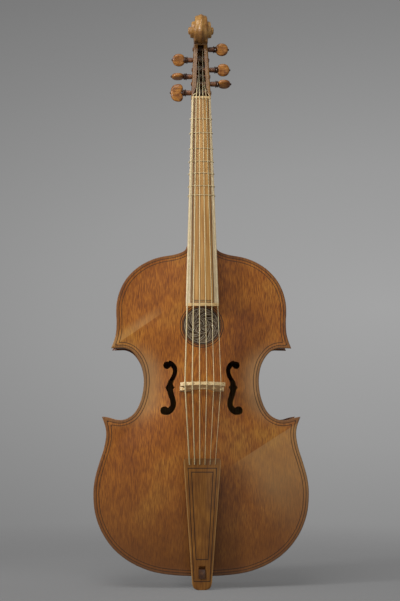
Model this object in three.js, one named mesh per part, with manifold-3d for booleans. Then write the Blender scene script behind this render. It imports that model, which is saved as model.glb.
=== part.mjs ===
// A six-string bass viola da gamba with a violin-like outline, held upright over its hook bar.
// Millimetres, +Z up, front towards -Y. The origin lies on the centreline, under the foot of
// the hook bar, in the plane where the ribs are glued to the top plate.
import * as THREE from "three";
import { mergeVertices } from "three/addons/utils/BufferGeometryUtils.js";
import Module from "manifold-3d";

// Gaps between pieces
const glueGap = 0.3;
const runningGap = 0.35;
const cutOverrun = 20;

// Body outline, half widths and heights above the lower edge of the plates
const bodyLength = 684;
const bodyRise = 25;
const lowerBoutHalf = 223.3;
const waistHalf = 120;
const upperBoutHalf = 178;
const lowerCornerFlareWidth = 8.9;
const upperCornerFlareWidth = 11.4;
const lowerCornerShare = 0.4798;
const waistShare = 0.5781;
const upperCornerShare = 0.6874;
const neckSeatHalf = 31;

// Soundbox
const ribDepth = 116;
const ribDepthAtNeck = 88;
const backBendShare = 0.7895;
const ribThickness = 2.2;
const plateOverhang = 3.5;
const plateThickness = 4;
const backThickness = 4;
const archHeight = 20;
const archMargin = 15;

// Blocks, linings, bar, post and back braces
const neckBlockHalf = 38;
const neckBlockLength = 40;
const bottomBlockHalf = 32;
const bottomBlockLength = 20;
const cornerBlockDepth = 26;
const cornerBlockHalf = 34;
const liningWidth = 4.5;
const liningHeight = 12;
const bassBarLength = 420;
const bassBarWidth = 7;
const bassBarHeight = 17;
const bassBarEndHeight = 6;
const bassBarRoseLedge = 2;
const soundPostRadius = 5;
const soundPostSetback = 18;
const postPlateLength = 84;
const postPlateThickness = 5;
const braceWidth = 16;
const braceThickness = 9;
const lowerBraceShare = 0.2412;
const upperBraceInset = 74;

// Sound holes and rosette
const holeCentre = 64;
const holeShare = 0.5658;
const holeHalf = 57;
const holeUpperEyeRadius = 7.8;
const holeLowerEyeRadius = 8.8;
const roseShare = 0.7551;
const roseRadius = 39;
const roseThickness = 3;
const roseSetback = 1;

// Neck and heel
const neckLength = 315.8;
const neckAngle = 6.5;
const neckDepthAtNut = 21;
const neckDepthAtHeel = 25;
const heelRun = 60;
const neckInset = 0.5;

// Fingerboard with its inlaid bone edges
const boardLength = 444.4;
const boardAngle = 8.637;
const boardEndHalf = 34.1;
const boardNutHalf = 20.4;
const boardTopAtNut = 7;
const boardNutThickness = 5;
const boardCrownRadius = 80;
const boardEndThickness = 13;
const stripThickness = 1.6;
const stripWidthAtEnd = 9;
const stripWidthAtNut = 4;
const endStripLength = 6;

// Nut and tied frets
const nutLength = 5.6;
const nutLift = 1.6;
const fretDiameter = 1.3;
const fretShares = [0.0724, 0.1234, 0.1793, 0.2254, 0.2682, 0.3126, 0.3455];

// Strings, from the bass side to the treble side
const stringDiameters = [2.6, 2.2, 1.8, 1.5, 1.2, 1];
const nutEdgeMargin = 3.15;
const bridgeStringPitch = 14.6;
const tailStringPitch = 10.5;

// Bridge
const bridgeShare = 0.5585;
const boardEndLift = 7.5;
const bridgeHalf = 45.5;
const bridgeFootWidth = 22;
const bridgeFootHeight = 8;
const bridgeArchRise = 22;
const bridgeBaseThickness = 11;
const bridgeCrownThickness = 5;
const bridgeCrownRadius = 90;
const bridgeLean = 10;

// Tailpiece
const tailTopHeight = 268;
const tailEndHeight = 0.6;
const tailTopHalf = 38;
const tailFootHalf = 20.3;
const tailEndHalf = 10;
const tailEndRun = 13;
const tailThickness = 8.5;
const tailCrown = 2;
const tailTopY = -56;
const tailFootY = -36;
const tailHoleDrop = 12;
const tailHoleClearance = 0.6;
const mortiseHalf = 7;
const mortiseBottom = 23.5;
const mortiseTop = 50;

// Hook bar
const hookBarHalf = 11;
const hookTailGap = 3.5;
const hookFootBack = 70;
const hookHeelRise = 12;
const hookShoulderDrop = 2;
const hookTipReach = 3;
const hookTipHeight = 10;

// Pegbox and scroll
const pegboxLength = 120.3;
const pegboxAngle = 11.05;
const pegboxFrontStep = 2.5;
const pegboxDepthAtNut = 34.5;
const pegboxDepthAtTop = 27;
const pegboxChin = 20;
const pegboxNutLedge = 0.4;
const pegboxHalfAtTop = 14.6;
const cavityMouthClearance = 0.6;
const cavityHalfAtNut = 11.6;
const cavityHalfAtTop = 6.4;
const cavityFlare = 20;
const cavityClearance = 1.5;
const cavityTopWall = 4;
const voluteRadius = 31.5;
const voluteEdgeHalf = 14;
const voluteTurnHalf = 20.5;
const eyeRadius = 6.5;
const eyeHalf = 27.3;

// Pegs and the string wound on each
const pegPlaceShares = [0.0798, 0.3849, 0.6966, 0.9002, 0.5137, 0.2485];
const pegTurns = [0, 80, 12, 15, 10, 66];
const pegAxisDepth = 13;
const pegShaftRadius = 4.8;
const pegTipRadius = 4.1;
const pegTipReach = 2;
const pegCollarOut = 11.5;
const pegCollarLength = 4.5;
const pegCollarRadius = 7.8;
const pegNeckRadius = 3.6;
const pegHeadStep = 2;
const pegHeadLength = 26;
const pegHeadHalf = 13.5;
const pegBroadHeadHalf = 19;
const pegHeadThickness = 9;
const pegButtonRadius = 2;
const windingTurns = 3;
const windingGap = 0.6;

// Steps of the rounded shapes
const plateSteps = 2;
const ribSteps = 1;
const roundSides = 16;
const windingSteps = 12;
const windingSides = 5;
const stringSides = 6;

const bodyTop = bodyRise + bodyLength;
const lowerCornerHeight = bodyLength * lowerCornerShare;
const waistHeight = bodyLength * waistShare;
const upperCornerHeight = bodyLength * upperCornerShare;
const backBendHeight = bodyLength * backBendShare;
const lowerBraceHeight = bodyLength * lowerBraceShare;
const holeHeight = bodyLength * holeShare;
const roseHeight = bodyLength * roseShare;
const nutHeight = bodyTop + neckLength;
const nutTop = nutHeight + nutLength;
const boardEndHeight = nutHeight - boardLength;
const bridgeLevel = bodyRise + bodyLength * bridgeShare;
const slope = (degrees) => Math.tan(THREE.MathUtils.degToRad(degrees));
const boardTopAtEnd = boardTopAtNut - slope(boardAngle) * boardLength;
const neckFaceAtNut = boardTopAtNut + boardNutThickness;
const neckFaceAtBody = neckFaceAtNut - slope(neckAngle) * neckLength;
const wasm = await Module();
wasm.setup();

// A closed mesh whose shared vertices are merged becomes a solid that can be joined and cut.
function solidOf(geometry) {
  const bare = geometry.clone();
  bare.deleteAttribute("normal");
  bare.deleteAttribute("uv");
  const merged = mergeVertices(bare);
  const faces = [];
  const index = merged.index.array;
  for (let i = 0; i < index.length; i += 3) {
    const [a, b, c] = index.slice(i, i + 3);
    if (a !== b && b !== c && c !== a) faces.push(a, b, c);
  }
  const vertProperties = merged.attributes.position.array;
  const triVerts = new Uint32Array(faces);
  return new wasm.Manifold(new wasm.Mesh({ numProp: 3, vertProperties, triVerts }));
}

function geometryOf(solid) {
  const mesh = solid.getMesh();
  const geometry = new THREE.BufferGeometry();
  geometry.setAttribute("position", new THREE.BufferAttribute(mesh.vertProperties.slice(), 3));
  geometry.setIndex(new THREE.BufferAttribute(mesh.triVerts.slice(), 1));
  geometry.computeVertexNormals();
  return geometry;
}

const right = new THREE.Vector3(1, 0, 0);
const back = new THREE.Vector3(0, 1, 0);
const up = new THREE.Vector3(0, 0, 1);
const front = new THREE.Vector3(0, -1, 0);

// An outline is extruded and placed by the three directions of its plane and its depth.
function extruded(outline, depth, placing, holes = []) {
  const shape = new THREE.Shape(outline.map(([a, b]) => new THREE.Vector2(a, b)));
  for (const hole of holes) {
    shape.holes.push(new THREE.Path(hole.map(([a, b]) => new THREE.Vector2(a, b))));
  }
  const geometry = new THREE.ExtrudeGeometry(shape, { depth, bevelEnabled: false });
  return solidOf(geometry.applyMatrix4(placing));
}

// Outline in X and Z, standing between two planes of Y.
function facing(outline, fromY, toY, holes = []) {
  const placing = new THREE.Matrix4().makeBasis(right, up, front).setPosition(0, toY, 0);
  return extruded(outline, toY - fromY, placing, holes);
}

// Outline in Y and Z, as wide to the left as to the right of the centre given.
function sideways(outline, half, centre = 0) {
  const placing = new THREE.Matrix4().makeBasis(back, up, right).setPosition(centre - half, 0, 0);
  return extruded(outline, 2 * half, placing);
}

function box(fromX, toX, fromY, toY, fromZ, toZ) {
  const corners = [
    [fromX, fromZ],
    [toX, fromZ],
    [toX, toZ],
    [fromX, toZ],
  ];
  return facing(corners, fromY, toY);
}

function circle(centreA, centreB, radius, sides) {
  const points = [];
  for (let i = 0; i < sides; i++) {
    const angle = (2 * Math.PI * (i + 0.5)) / sides;
    points.push([centreA + radius * Math.cos(angle), centreB + radius * Math.sin(angle)]);
  }
  return points;
}

// Rings of points, one after another along a piece, are joined into one closed skin.
function loft(rings, closed = false) {
  const count = rings[0].length;
  const points = rings.flat();
  const faces = [];
  const bands = closed ? rings.length : rings.length - 1;
  for (let i = 0; i < bands; i++) {
    const a = i * count;
    const b = ((i + 1) % rings.length) * count;
    for (let j = 0; j < count; j++) {
      const k = (j + 1) % count;
      faces.push(a + j, a + k, b + k, a + j, b + k, b + j);
    }
  }
  if (!closed) {
    for (const i of [0, rings.length - 1]) {
      const middle = [0, 1, 2].map((axis) => rings[i].reduce((sum, p) => sum + p[axis], 0) / count);
      const centre = points.push(middle) - 1;
      for (let j = 0; j < count; j++) {
        const k = (j + 1) % count;
        const pair = i === 0 ? [k, j] : [j, k];
        faces.push(centre, i * count + pair[0], i * count + pair[1]);
      }
    }
  }
  const geometry = new THREE.BufferGeometry();
  geometry.setAttribute("position", new THREE.Float32BufferAttribute(points.flat(), 3));
  if (signedVolume(points, faces) < 0) faces.reverse();
  geometry.setIndex(faces);
  return solidOf(geometry);
}

function signedVolume(points, faces) {
  let volume = 0;
  for (let i = 0; i < faces.length; i += 3) {
    const [a, b, c] = [0, 1, 2].map((k) => new THREE.Vector3(...points[faces[i + k]]));
    volume += a.dot(b.cross(c));
  }
  return volume;
}

// A round tube along a path of points. Its rings stay square to the path.
function tube(path, radius, sides, closed = false) {
  const last = path.length - 1;
  const rings = [];
  let across = null;
  for (let i = 0; i <= last; i++) {
    const before = path[i === 0 ? (closed ? last : 0) : i - 1];
    const after = path[i === last ? (closed ? 0 : last) : i + 1];
    const incoming = path[i].clone().sub(before).normalize();
    const outgoing = after.clone().sub(path[i]).normalize();
    const tangent = incoming.add(outgoing).normalize();
    if (across === null) {
      const aside = Math.abs(tangent.x) < 0.9 ? right : up;
      across = aside.clone().cross(tangent);
    }
    across.addScaledVector(tangent, -across.dot(tangent)).normalize();
    const beside = tangent.clone().cross(across);
    const ring = [];
    for (let j = 0; j < sides; j++) {
      const angle = (2 * Math.PI * j) / sides;
      const point = path[i].clone();
      point.addScaledVector(across, radius * Math.cos(angle));
      point.addScaledVector(beside, radius * Math.sin(angle));
      ring.push(point.toArray());
    }
    rings.push(ring);
  }
  return loft(rings, closed);
}

// The right half of the body outline runs from the bottom seam, round both corners, to the
// neck seat. Each table holds half widths and heights as shares of its own bout.
const lowerBoutShares = [
  [0, 0],
  [0.224, 0.0055],
  [0.439, 0.0274],
  [0.636, 0.0807],
  [0.797, 0.1615],
  [0.914, 0.268],
  [0.981, 0.387],
  [1, 0.509],
  [0.987, 0.609],
  [0.947, 0.71],
  [0.906, 0.798],
  [0.885, 0.8775],
  [0.892, 0.9354],
];
const lowerWaistShares = [
  [1, 0],
  [0.844, -0.039],
  [0.697, -0.094],
  [0.555, -0.109],
  [0.42, -0.068],
  [0.283, 0.036],
  [0.179, 0.19],
  [0.098, 0.399],
  [0.032, 0.682],
  [0, 1],
];
const upperWaistShares = [
  [0.009, 0.262],
  [0.073, 0.529],
  [0.198, 0.75],
  [0.367, 0.917],
  [0.572, 1],
  [0.777, 1.005],
  [1, 1],
];
const upperBoutShares = [
  [1.029, 0.071],
  [1, 0.153],
  [0.993, 0.261],
  [0.999, 0.35],
  [0.99, 0.453],
  [0.946, 0.565],
  [0.861, 0.675],
  [0.728, 0.773],
  [0.565, 0.846],
  [0.388, 0.891],
  [0.197, 0.915],
  [0.088, 0.937],
  [0.02, 0.965],
  [0, 1],
];

function between(low, high, share) {
  return low + (high - low) * share;
}

function smooth(points, steps) {
  const curve = new THREE.SplineCurve(points.map(([x, z]) => new THREE.Vector2(x, z)));
  return curve.getPoints((points.length - 1) * steps).map(({ x, y }) => [x, y]);
}

const lowerNarrowShare = 0.885;
const upperNarrowShare = 0.993;
const lowerCornerHalf = lowerBoutHalf * lowerNarrowShare + lowerCornerFlareWidth;
const upperCornerHalf = upperBoutHalf * upperNarrowShare + upperCornerFlareWidth;
const lowerTip = [lowerCornerHalf, bodyRise + lowerCornerHeight];
const upperTip = [upperCornerHalf, bodyRise + upperCornerHeight];

function boutCurves(steps) {
  const lower = lowerBoutShares.map(([x, z]) => [x * lowerBoutHalf, bodyRise + z * lowerCornerHeight]);
  const lowerWaist = lowerWaistShares.map(([x, z]) => [
    between(waistHalf, lowerCornerHalf, x),
    bodyRise + between(lowerCornerHeight, waistHeight, z),
  ]);
  const upperWaist = upperWaistShares.map(([x, z]) => [
    between(waistHalf, upperCornerHalf, x),
    bodyRise + between(waistHeight, upperCornerHeight, z),
  ]);
  const upper = upperBoutShares.map(([x, z]) => [
    between(neckSeatHalf, upperBoutHalf, x),
    bodyRise + between(upperCornerHeight, bodyLength, z),
  ]);
  return [[...lower, lowerTip], [...lowerWaist, ...upperWaist], [upperTip, ...upper]].map((points) =>
    smooth(points, steps),
  );
}

function direction(from, to) {
  const length = Math.hypot(to[0] - from[0], to[1] - from[1]);
  return [(to[0] - from[0]) / length, (to[1] - from[1]) / length];
}

// Each point of a curve moves to its left, which is towards the middle of the body.
function offsetCurve(curve, inset) {
  return curve.map((point, i) => {
    const incoming = direction(curve[Math.max(i - 1, 0)], curve[Math.max(i, 1)]);
    const outgoing = direction(curve[Math.min(i, curve.length - 2)], curve[Math.min(i + 1, curve.length - 1)]);
    const sum = [incoming[0] + outgoing[0], incoming[1] + outgoing[1]];
    const stretch = (2 * inset) / (sum[0] * sum[0] + sum[1] * sum[1]);
    return [point[0] - sum[1] * stretch, point[1] + sum[0] * stretch];
  });
}

function crossing(p, q, r, s) {
  const a = [q[0] - p[0], q[1] - p[1]];
  const b = [s[0] - r[0], s[1] - r[1]];
  const area = a[0] * b[1] - a[1] * b[0];
  const along = ((r[0] - p[0]) * b[1] - (r[1] - p[1]) * b[0]) / area;
  const other = ((r[0] - p[0]) * a[1] - (r[1] - p[1]) * a[0]) / area;
  if (!(along >= 0 && along <= 1 && other >= 0 && other <= 1)) return null;
  return [p[0] + a[0] * along, p[1] + a[1] * along];
}

// Two curves that meet at a corner are cut where they cross.
function trimmed(first, second) {
  for (let i = first.length - 2; i >= 0; i--) {
    for (let j = 0; j < second.length - 1; j++) {
      const meeting = crossing(first[i], first[i + 1], second[j], second[j + 1]);
      if (meeting) return [[...first.slice(0, i + 1), meeting], [meeting, ...second.slice(j + 1)]];
    }
  }
  return [first, second];
}

function insetCurves(inset, steps) {
  let [lower, waist, upper] = boutCurves(steps).map((curve) => offsetCurve(curve, inset));
  if (inset > 0) {
    [lower, waist] = trimmed(lower, waist);
    [waist, upper] = trimmed(waist, upper);
  }
  const end = upper.at(-1);
  const slope = direction(upper.at(-2), end);
  const rise = bodyTop - end[1];
  upper[upper.length - 1] = [end[0] + (slope[0] / slope[1]) * rise, bodyTop];
  return [lower, waist, upper];
}

function mirrored(points) {
  return points.map(([x, z]) => [-x, z]).reverse();
}

function bodyOutline(inset, steps) {
  const [lower, waist, upper] = insetCurves(inset, steps);
  const half = [...lower, ...waist.slice(1), ...upper.slice(1)];
  return [...half, ...mirrored(half.slice(1))];
}

// Half width of the arching's footprint at a height, which passes by the corners.
const archLowerShare = 0.82;
const archWaistShare = 0.15;
const archUpperShare = 0.2;
const archCurves = boutCurves(plateSteps);
const archSide = [
  ...archCurves[0].filter(([x, z]) => z < bodyRise + lowerCornerHeight * archLowerShare),
  ...archCurves[1].filter(([x, z]) => x < between(waistHalf, upperCornerHalf, archWaistShare)),
  ...archCurves[2].filter(([x, z]) => z > bodyRise + between(upperCornerHeight, bodyLength, archUpperShare)),
];

function archHalf(z) {
  const i = archSide.findIndex((point) => point[1] > z);
  if (i === 0) return archSide[0][0] - archMargin;
  if (i < 0) return archSide.at(-1)[0] - archMargin;
  const [low, high] = [archSide[i - 1], archSide[i]];
  return between(low[0], high[0], (z - low[1]) / (high[1] - low[1])) - archMargin;
}

function archAt(x, z) {
  const half = archHalf(z);
  const middle = bodyRise + bodyLength / 2;
  const along = Math.abs(z - middle) / (bodyLength / 2 - archMargin);
  const aside = Math.abs(x) / half;
  if (half <= 0 || along >= 1 || aside >= 1) return 0;
  return archHeight * (1 - aside ** 2) ** 1.5 * (1 - along ** 4) ** 1.2;
}

const archColumnShares = [0, 0.22, 0.44, 0.64, 0.82, 1];
const archRowShares = [
  0, 0.03, 0.07, 0.12, 0.18, 0.25, 0.32, 0.39, 0.44, 0.49, 0.54, 0.58, 0.62, 0.66, 0.71, 0.77, 0.83, 0.88,
  0.92, 0.96, 1,
];

// A slab that follows the arching of the top, so many millimetres outside and inside it.
function archedSlab(outside, inside) {
  const edge = lowerBoutHalf + cutOverrun;
  const heights = archRowShares.map((share) => between(bodyRise + archMargin, bodyTop - archMargin, share));
  heights.unshift(bodyRise - cutOverrun);
  heights.push(bodyTop + cutOverrun);
  const rows = heights.map((z) => {
    const half = Math.max(archHalf(z), archMargin);
    const columns = archColumnShares.map((share) => share * half);
    const xs = [edge, ...columns.slice(1).reverse(), ...columns].map((x, i) => (i > columns.length - 1 ? -x : x));
    return [...xs, -edge].map((x) => [x, -archAt(x, z), z]);
  });
  const rings = rows.map((row) => [
    ...row.map(([x, y, z]) => [x, y - outside, z]),
    ...row.map(([x, y, z]) => [x, y + inside, z]).reverse(),
  ]);
  return loft(rings);
}

// The finished pieces are gathered with their materials.
const viol = new THREE.Group();

function varnished(color, roughness) {
  return new THREE.MeshStandardMaterial({ color, roughness, metalness: 0, flatShading: true });
}

const spruceTop = varnished(0xb5692a, 0.4);
const mapleBody = varnished(0x8a4a1f, 0.4);
const mapleNeck = varnished(0x9a5c25, 0.45);
const bareSpruce = varnished(0xd9bf8f, 0.8);
const tannedBoard = varnished(0xb08850, 0.55);
const bone = varnished(0xe6dcc0, 0.35);
const gut = varnished(0xdccb9c, 0.6);
const pegWood = varnished(0x9c6f45, 0.45);
const bridgeMaple = varnished(0xd8b887, 0.6);
const tailWood = varnished(0x7a4524, 0.45);
const parchment = varnished(0x6b5a4a, 0.7);

function piece(name, solid, material) {
  const mesh = new THREE.Mesh(geometryOf(solid), material);
  mesh.name = name;
  viol.add(mesh);
  return mesh;
}

// Back profile of the ribs, which cants towards the neck
function backLine(z) {
  const bend = bodyRise + backBendHeight;
  return z <= bend ? ribDepth : between(ribDepth, ribDepthAtNeck, (z - bend) / (bodyTop - bend));
}

function backBand(fromInside, toOutside) {
  const heights = [bodyRise - cutOverrun, bodyRise + backBendHeight, bodyTop + cutOverrun];
  const inner = heights.map((z) => [backLine(z) + fromInside, z]);
  const outer = heights.map((z) => [backLine(z) + toOutside, z]);
  return sideways([...inner, ...outer.reverse()], lowerBoutHalf + cutOverrun);
}

const ribSpace = backBand(-ribDepth - cutOverrun, -glueGap);

// Sound holes
const holeShares = [
  [0.072, 1.004],
  [-0.105, 0.937],
  [-0.216, 0.782],
  [-0.239, 0.628],
  [-0.195, 0.43],
  [-0.107, 0.253],
  [-0.079, 0.123],
  [-0.149, 0.032],
  [-0.089, -0.056],
  [-0.128, -0.254],
  [-0.184, -0.453],
  [-0.184, -0.651],
  [-0.107, -0.826],
  [0.025, -0.937],
  [0.175, -0.968],
  [0.19, -0.8],
  [0.025, -0.632],
  [0.025, -0.453],
  [0.091, -0.254],
  [0.147, -0.061],
  [0.202, 0.033],
  [0.137, 0.114],
  [0.104, 0.23],
  [-0.018, 0.428],
  [-0.072, 0.584],
  [-0.061, 0.693],
  [0, 0.789],
];
const upperEyeShares = [0.137, 0.837];
const lowerEyeShares = [0.223, -0.811];

function soundHole(side) {
  const place = ([x, z]) => [side * (holeCentre + x * holeHalf), bodyRise + holeHeight + z * holeHalf];
  const stem = facing(holeShares.map(place), -archHeight - cutOverrun, cutOverrun);
  const eyes = [
    [upperEyeShares, holeUpperEyeRadius],
    [lowerEyeShares, holeLowerEyeRadius],
  ].map(([shares, radius]) =>
    facing(circle(...place(shares), radius, roundSides), -archHeight - cutOverrun, cutOverrun),
  );
  return stem.add(eyes[0]).add(eyes[1]);
}

// Rosette, let into the top beside the end of the fingerboard
const roseCentre = bodyRise + roseHeight;
const roseSides = 36;
const rosePetals = 8;
const rosePetalShare = 0.62;
const rosePetalRadiusShare = 0.17;
const roseHeartShare = 0.22;
const roseHole = facing(circle(0, roseCentre, roseRadius, roseSides), -archHeight - cutOverrun, cutOverrun);
const roseFace = -plateThickness - archAt(roseRadius, roseCentre) + roseSetback;
const rosePiercings = [circle(0, roseCentre, roseRadius * roseHeartShare, roundSides)];
for (let i = 0; i < rosePetals; i++) {
  const angle = (2 * Math.PI * i) / rosePetals;
  const reach = roseRadius * rosePetalShare;
  const petal = [reach * Math.cos(angle), roseCentre + reach * Math.sin(angle)];
  rosePiercings.push(circle(...petal, roseRadius * rosePetalRadiusShare, rosePetals));
}
const roseOutline = circle(0, roseCentre, roseRadius - glueGap, roseSides);
const rose = facing(roseOutline, roseFace, roseFace + roseThickness, rosePiercings);

// Top and back plates
const topBlank = facing(bodyOutline(0, plateSteps), -archHeight - cutOverrun, cutOverrun);
const topPlate = archedSlab(plateThickness, 0)
  .intersect(topBlank)
  .subtract(soundHole(1))
  .subtract(soundHole(-1))
  .subtract(roseHole);
const backPlate = facing(bodyOutline(0, plateSteps), 0, ribDepth + backThickness + cutOverrun)
  .intersect(backBand(0, backThickness));
piece("top_plate", topPlate, spruceTop);
piece("back_plate", backPlate, mapleBody);
piece("rosette", rose, parchment);

// A strip that follows one curve of the outline between two insets, for a rib or a lining
const ribOuterInset = plateOverhang;
const ribInnerInset = plateOverhang + ribThickness;
const liningOuterInset = ribInnerInset + glueGap;
const liningInnerInset = liningOuterInset + liningWidth;

function shortened(curve, distance, atStart, atEnd) {
  const cut = [...curve];
  if (atStart) {
    const aim = direction(cut[0], cut[1]);
    cut[0] = [cut[0][0] + aim[0] * distance, cut[0][1] + aim[1] * distance];
  }
  if (atEnd) {
    const aim = direction(cut.at(-1), cut.at(-2));
    cut[cut.length - 1] = [cut.at(-1)[0] + aim[0] * distance, cut.at(-1)[1] + aim[1] * distance];
  }
  return cut;
}

function strip(which, outerInset, innerInset) {
  const atStart = true;
  const atEnd = which < 2;
  const [outer, inner] = [outerInset, innerInset].map((inset) =>
    shortened(insetCurves(inset, ribSteps)[which], glueGap, atStart, atEnd),
  );
  return [...outer, ...inner.reverse()];
}

const boutNames = ["lower", "waist", "upper"];
const sides = [
  ["left", -1],
  ["right", 1],
];
for (const [i, bout] of boutNames.entries()) {
  for (const [sideName, side] of sides) {
    const outline = strip(i, ribOuterInset, ribInnerInset).map(([x, z]) => [side * x, z]);
    piece(`${bout}_rib_${sideName}`, facing(outline, 0, ribDepth).intersect(ribSpace), mapleBody);
  }
}

// Corner blocks fill the corners inside the ribs, and the linings stop against every block.
const cavityBlank = facing(bodyOutline(liningOuterInset, ribSteps), 0, ribDepth).intersect(ribSpace);

function cornerBox(tip, before, after, side, grow) {
  const toBefore = direction(tip, before);
  const toAfter = direction(tip, after);
  const aim = direction([0, 0], [toBefore[0] + toAfter[0], toBefore[1] + toAfter[1]]);
  const half = cornerBlockHalf + grow;
  const depth = cornerBlockDepth + grow;
  const corner = (along, aside) => [
    side * (tip[0] + aim[0] * along - aim[1] * aside),
    tip[1] + aim[1] * along + aim[0] * aside,
  ];
  const outline = [corner(-depth, -half), corner(depth, -half), corner(depth, half), corner(-depth, half)];
  return facing(outline, -cutOverrun, ribDepth + cutOverrun);
}

function boutBlocks(grow) {
  const [lower, waist, upper] = insetCurves(liningOuterInset, ribSteps);
  const solids = {};
  for (const [sideName, side] of sides) {
    solids[`lower_corner_block_${sideName}`] = cornerBox(waist[0], lower.at(-2), waist[1], side, grow);
    solids[`upper_corner_block_${sideName}`] = cornerBox(upper[0], waist.at(-2), upper[1], side, grow);
  }
  const neckHalf = neckBlockHalf + grow;
  const bottomHalf = bottomBlockHalf + grow;
  const neckFoot = bodyTop - neckBlockLength - grow;
  const bottomHead = bodyRise + liningOuterInset + bottomBlockLength + grow;
  const rear = ribDepth + cutOverrun;
  solids.neck_block = box(-neckHalf, neckHalf, -cutOverrun, rear, neckFoot, bodyTop + cutOverrun);
  solids.bottom_block = box(-bottomHalf, bottomHalf, -cutOverrun, rear, -cutOverrun, bottomHead);
  return solids;
}

for (const [name, solid] of Object.entries(boutBlocks(0))) {
  piece(name, cavityBlank.intersect(solid), bareSpruce);
}

const blockSpaces = Object.values(boutBlocks(glueGap));
for (const [i, bout] of boutNames.entries()) {
  for (const [sideName, side] of sides) {
    const outline = strip(i, liningOuterInset, liningInnerInset).map(([x, z]) => [side * x, z]);
    const lining = blockSpaces.reduce((solid, block) => solid.subtract(block), facing(outline, 0, liningHeight));
    piece(`${bout}_lining_${sideName}`, lining, bareSpruce);
  }
}

// Bass bar under the bass foot of the bridge, beside the rosette
const bassBarCentre = -(roseRadius + bassBarRoseLedge + bassBarWidth / 2);
const bassBarShares = [0, 0.15, 0.35, 0.5, 0.65, 0.85, 1];
const barLow = bridgeLevel - bassBarLength / 2;
const barInside = bassBarShares.map((share) => {
  const z = barLow + bassBarLength * share;
  const height = between(bassBarEndHeight, bassBarHeight, 1 - (2 * share - 1) ** 2);
  return [height - archAt(bassBarCentre, z), z];
});
const barProfile = [[-archHeight - cutOverrun, barLow], ...barInside, [-archHeight - cutOverrun, barLow + bassBarLength]];
const underTop = archedSlab(archHeight + cutOverrun, glueGap);
piece("bass_bar", sideways(barProfile, bassBarWidth / 2, bassBarCentre).subtract(underTop), bareSpruce);

// Sound post under the treble foot, its plate and the two back braces
const postHeight = bridgeLevel - soundPostSetback;
const postCentre = bridgeHalf - bridgeFootWidth / 2;
const post = facing(
  circle(postCentre, postHeight, soundPostRadius, roundSides),
  -archHeight - cutOverrun,
  ribDepth - 2 * glueGap - postPlateThickness,
);
piece("sound_post", post.subtract(underTop), bareSpruce);
const rear = ribDepth + cutOverrun;
const plateLow = postHeight - postPlateLength / 2;
const plateBox = box(-lowerBoutHalf, lowerBoutHalf, 0, rear, plateLow, plateLow + postPlateLength);
const lowerBraceLow = bodyRise + lowerBraceHeight;
const lowerBraceBox = box(-lowerBoutHalf, lowerBoutHalf, 0, rear, lowerBraceLow, lowerBraceLow + braceWidth);
const upperBraceLow = bodyTop - upperBraceInset;
const upperBraceBox = box(-lowerBoutHalf, lowerBoutHalf, 0, rear, upperBraceLow, upperBraceLow + braceWidth);
const onBack = (thickness) => backBand(-glueGap - thickness, -glueGap);
piece("soundpost_plate", cavityBlank.intersect(plateBox).intersect(onBack(postPlateThickness)), bareSpruce);
piece("lower_back_brace", cavityBlank.intersect(lowerBraceBox).intersect(onBack(braceThickness)), bareSpruce);
piece("upper_back_brace", cavityBlank.intersect(upperBraceBox).intersect(onBack(braceThickness)), bareSpruce);

// Neck and fingerboard taper from the body to the nut.
function alongBoard(z, atEnd, atNut) {
  return between(atEnd, atNut, (z - boardEndHeight) / (nutHeight - boardEndHeight));
}

function alongNeck(z, atBody, atNut) {
  return between(atBody, atNut, (z - bodyTop) / (nutHeight - bodyTop));
}

const boardHalf = (z) => alongBoard(z, boardEndHalf, boardNutHalf);
const boardTop = (z) => alongBoard(z, boardTopAtEnd, boardTopAtNut);
const neckFace = (z) => alongNeck(z, neckFaceAtBody, neckFaceAtNut);
const boardDrop = (x) => boardCrownRadius - Math.sqrt(boardCrownRadius ** 2 - x ** 2);

const crownShares = [-1, -0.66, -0.33, 0, 0.33, 0.66, 1];

function crownLine(z) {
  return crownShares.map((share) => [share * boardHalf(z), boardTop(z) + boardDrop(share * boardHalf(z))]);
}

function boardBottom(z) {
  const free = (bodyTop - z) / (bodyTop - boardEndHeight);
  if (free <= 0) return neckFace(z) - glueGap;
  const underEnd = boardTopAtEnd + boardEndThickness;
  return between(neckFace(bodyTop) - glueGap, underEnd, free);
}

function boardRing(z) {
  const half = boardHalf(z);
  return [...crownLine(z), [half, boardBottom(z)], [-half, boardBottom(z)]].map(([x, y]) => [x, y, z]);
}

const fullBoard = loft([boardEndHeight, bodyTop, nutHeight - glueGap].map(boardRing));
const skin = (thickness) => fullBoard.subtract(fullBoard.translate([0, thickness, 0]));
const boardFront = boardTopAtEnd - cutOverrun;
const endStripTop = boardEndHeight + endStripLength;

function edgeOutline(side, grow, low) {
  const inner = (z) => side * (boardHalf(z) - alongBoard(z, stripWidthAtEnd, stripWidthAtNut) - grow);
  const outer = side * (boardEndHalf + cutOverrun);
  return [
    [inner(low), low],
    [outer, low],
    [outer, nutTop],
    [inner(nutTop), nutTop],
  ];
}

const edgeSolid = (side, grow, low) => facing(edgeOutline(side, grow, low), boardFront, cutOverrun);
const endSolid = (top) =>
  box(-boardEndHalf - cutOverrun, boardEndHalf + cutOverrun, boardFront, cutOverrun, 0, top);
const rebate = edgeSolid(-1, glueGap, boardEndHeight - cutOverrun)
  .add(edgeSolid(1, glueGap, boardEndHeight - cutOverrun))
  .add(endSolid(endStripTop));
piece("fingerboard", fullBoard.subtract(skin(stripThickness + glueGap).intersect(rebate)), tannedBoard);
for (const [sideName, side] of sides) {
  const edge = skin(stripThickness).intersect(edgeSolid(side, 0, endStripTop + glueGap));
  piece(`fingerboard_edge_${sideName}`, edge, bone);
}
piece("fingerboard_end_strip", skin(stripThickness).intersect(endSolid(endStripTop)), bone);

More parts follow.
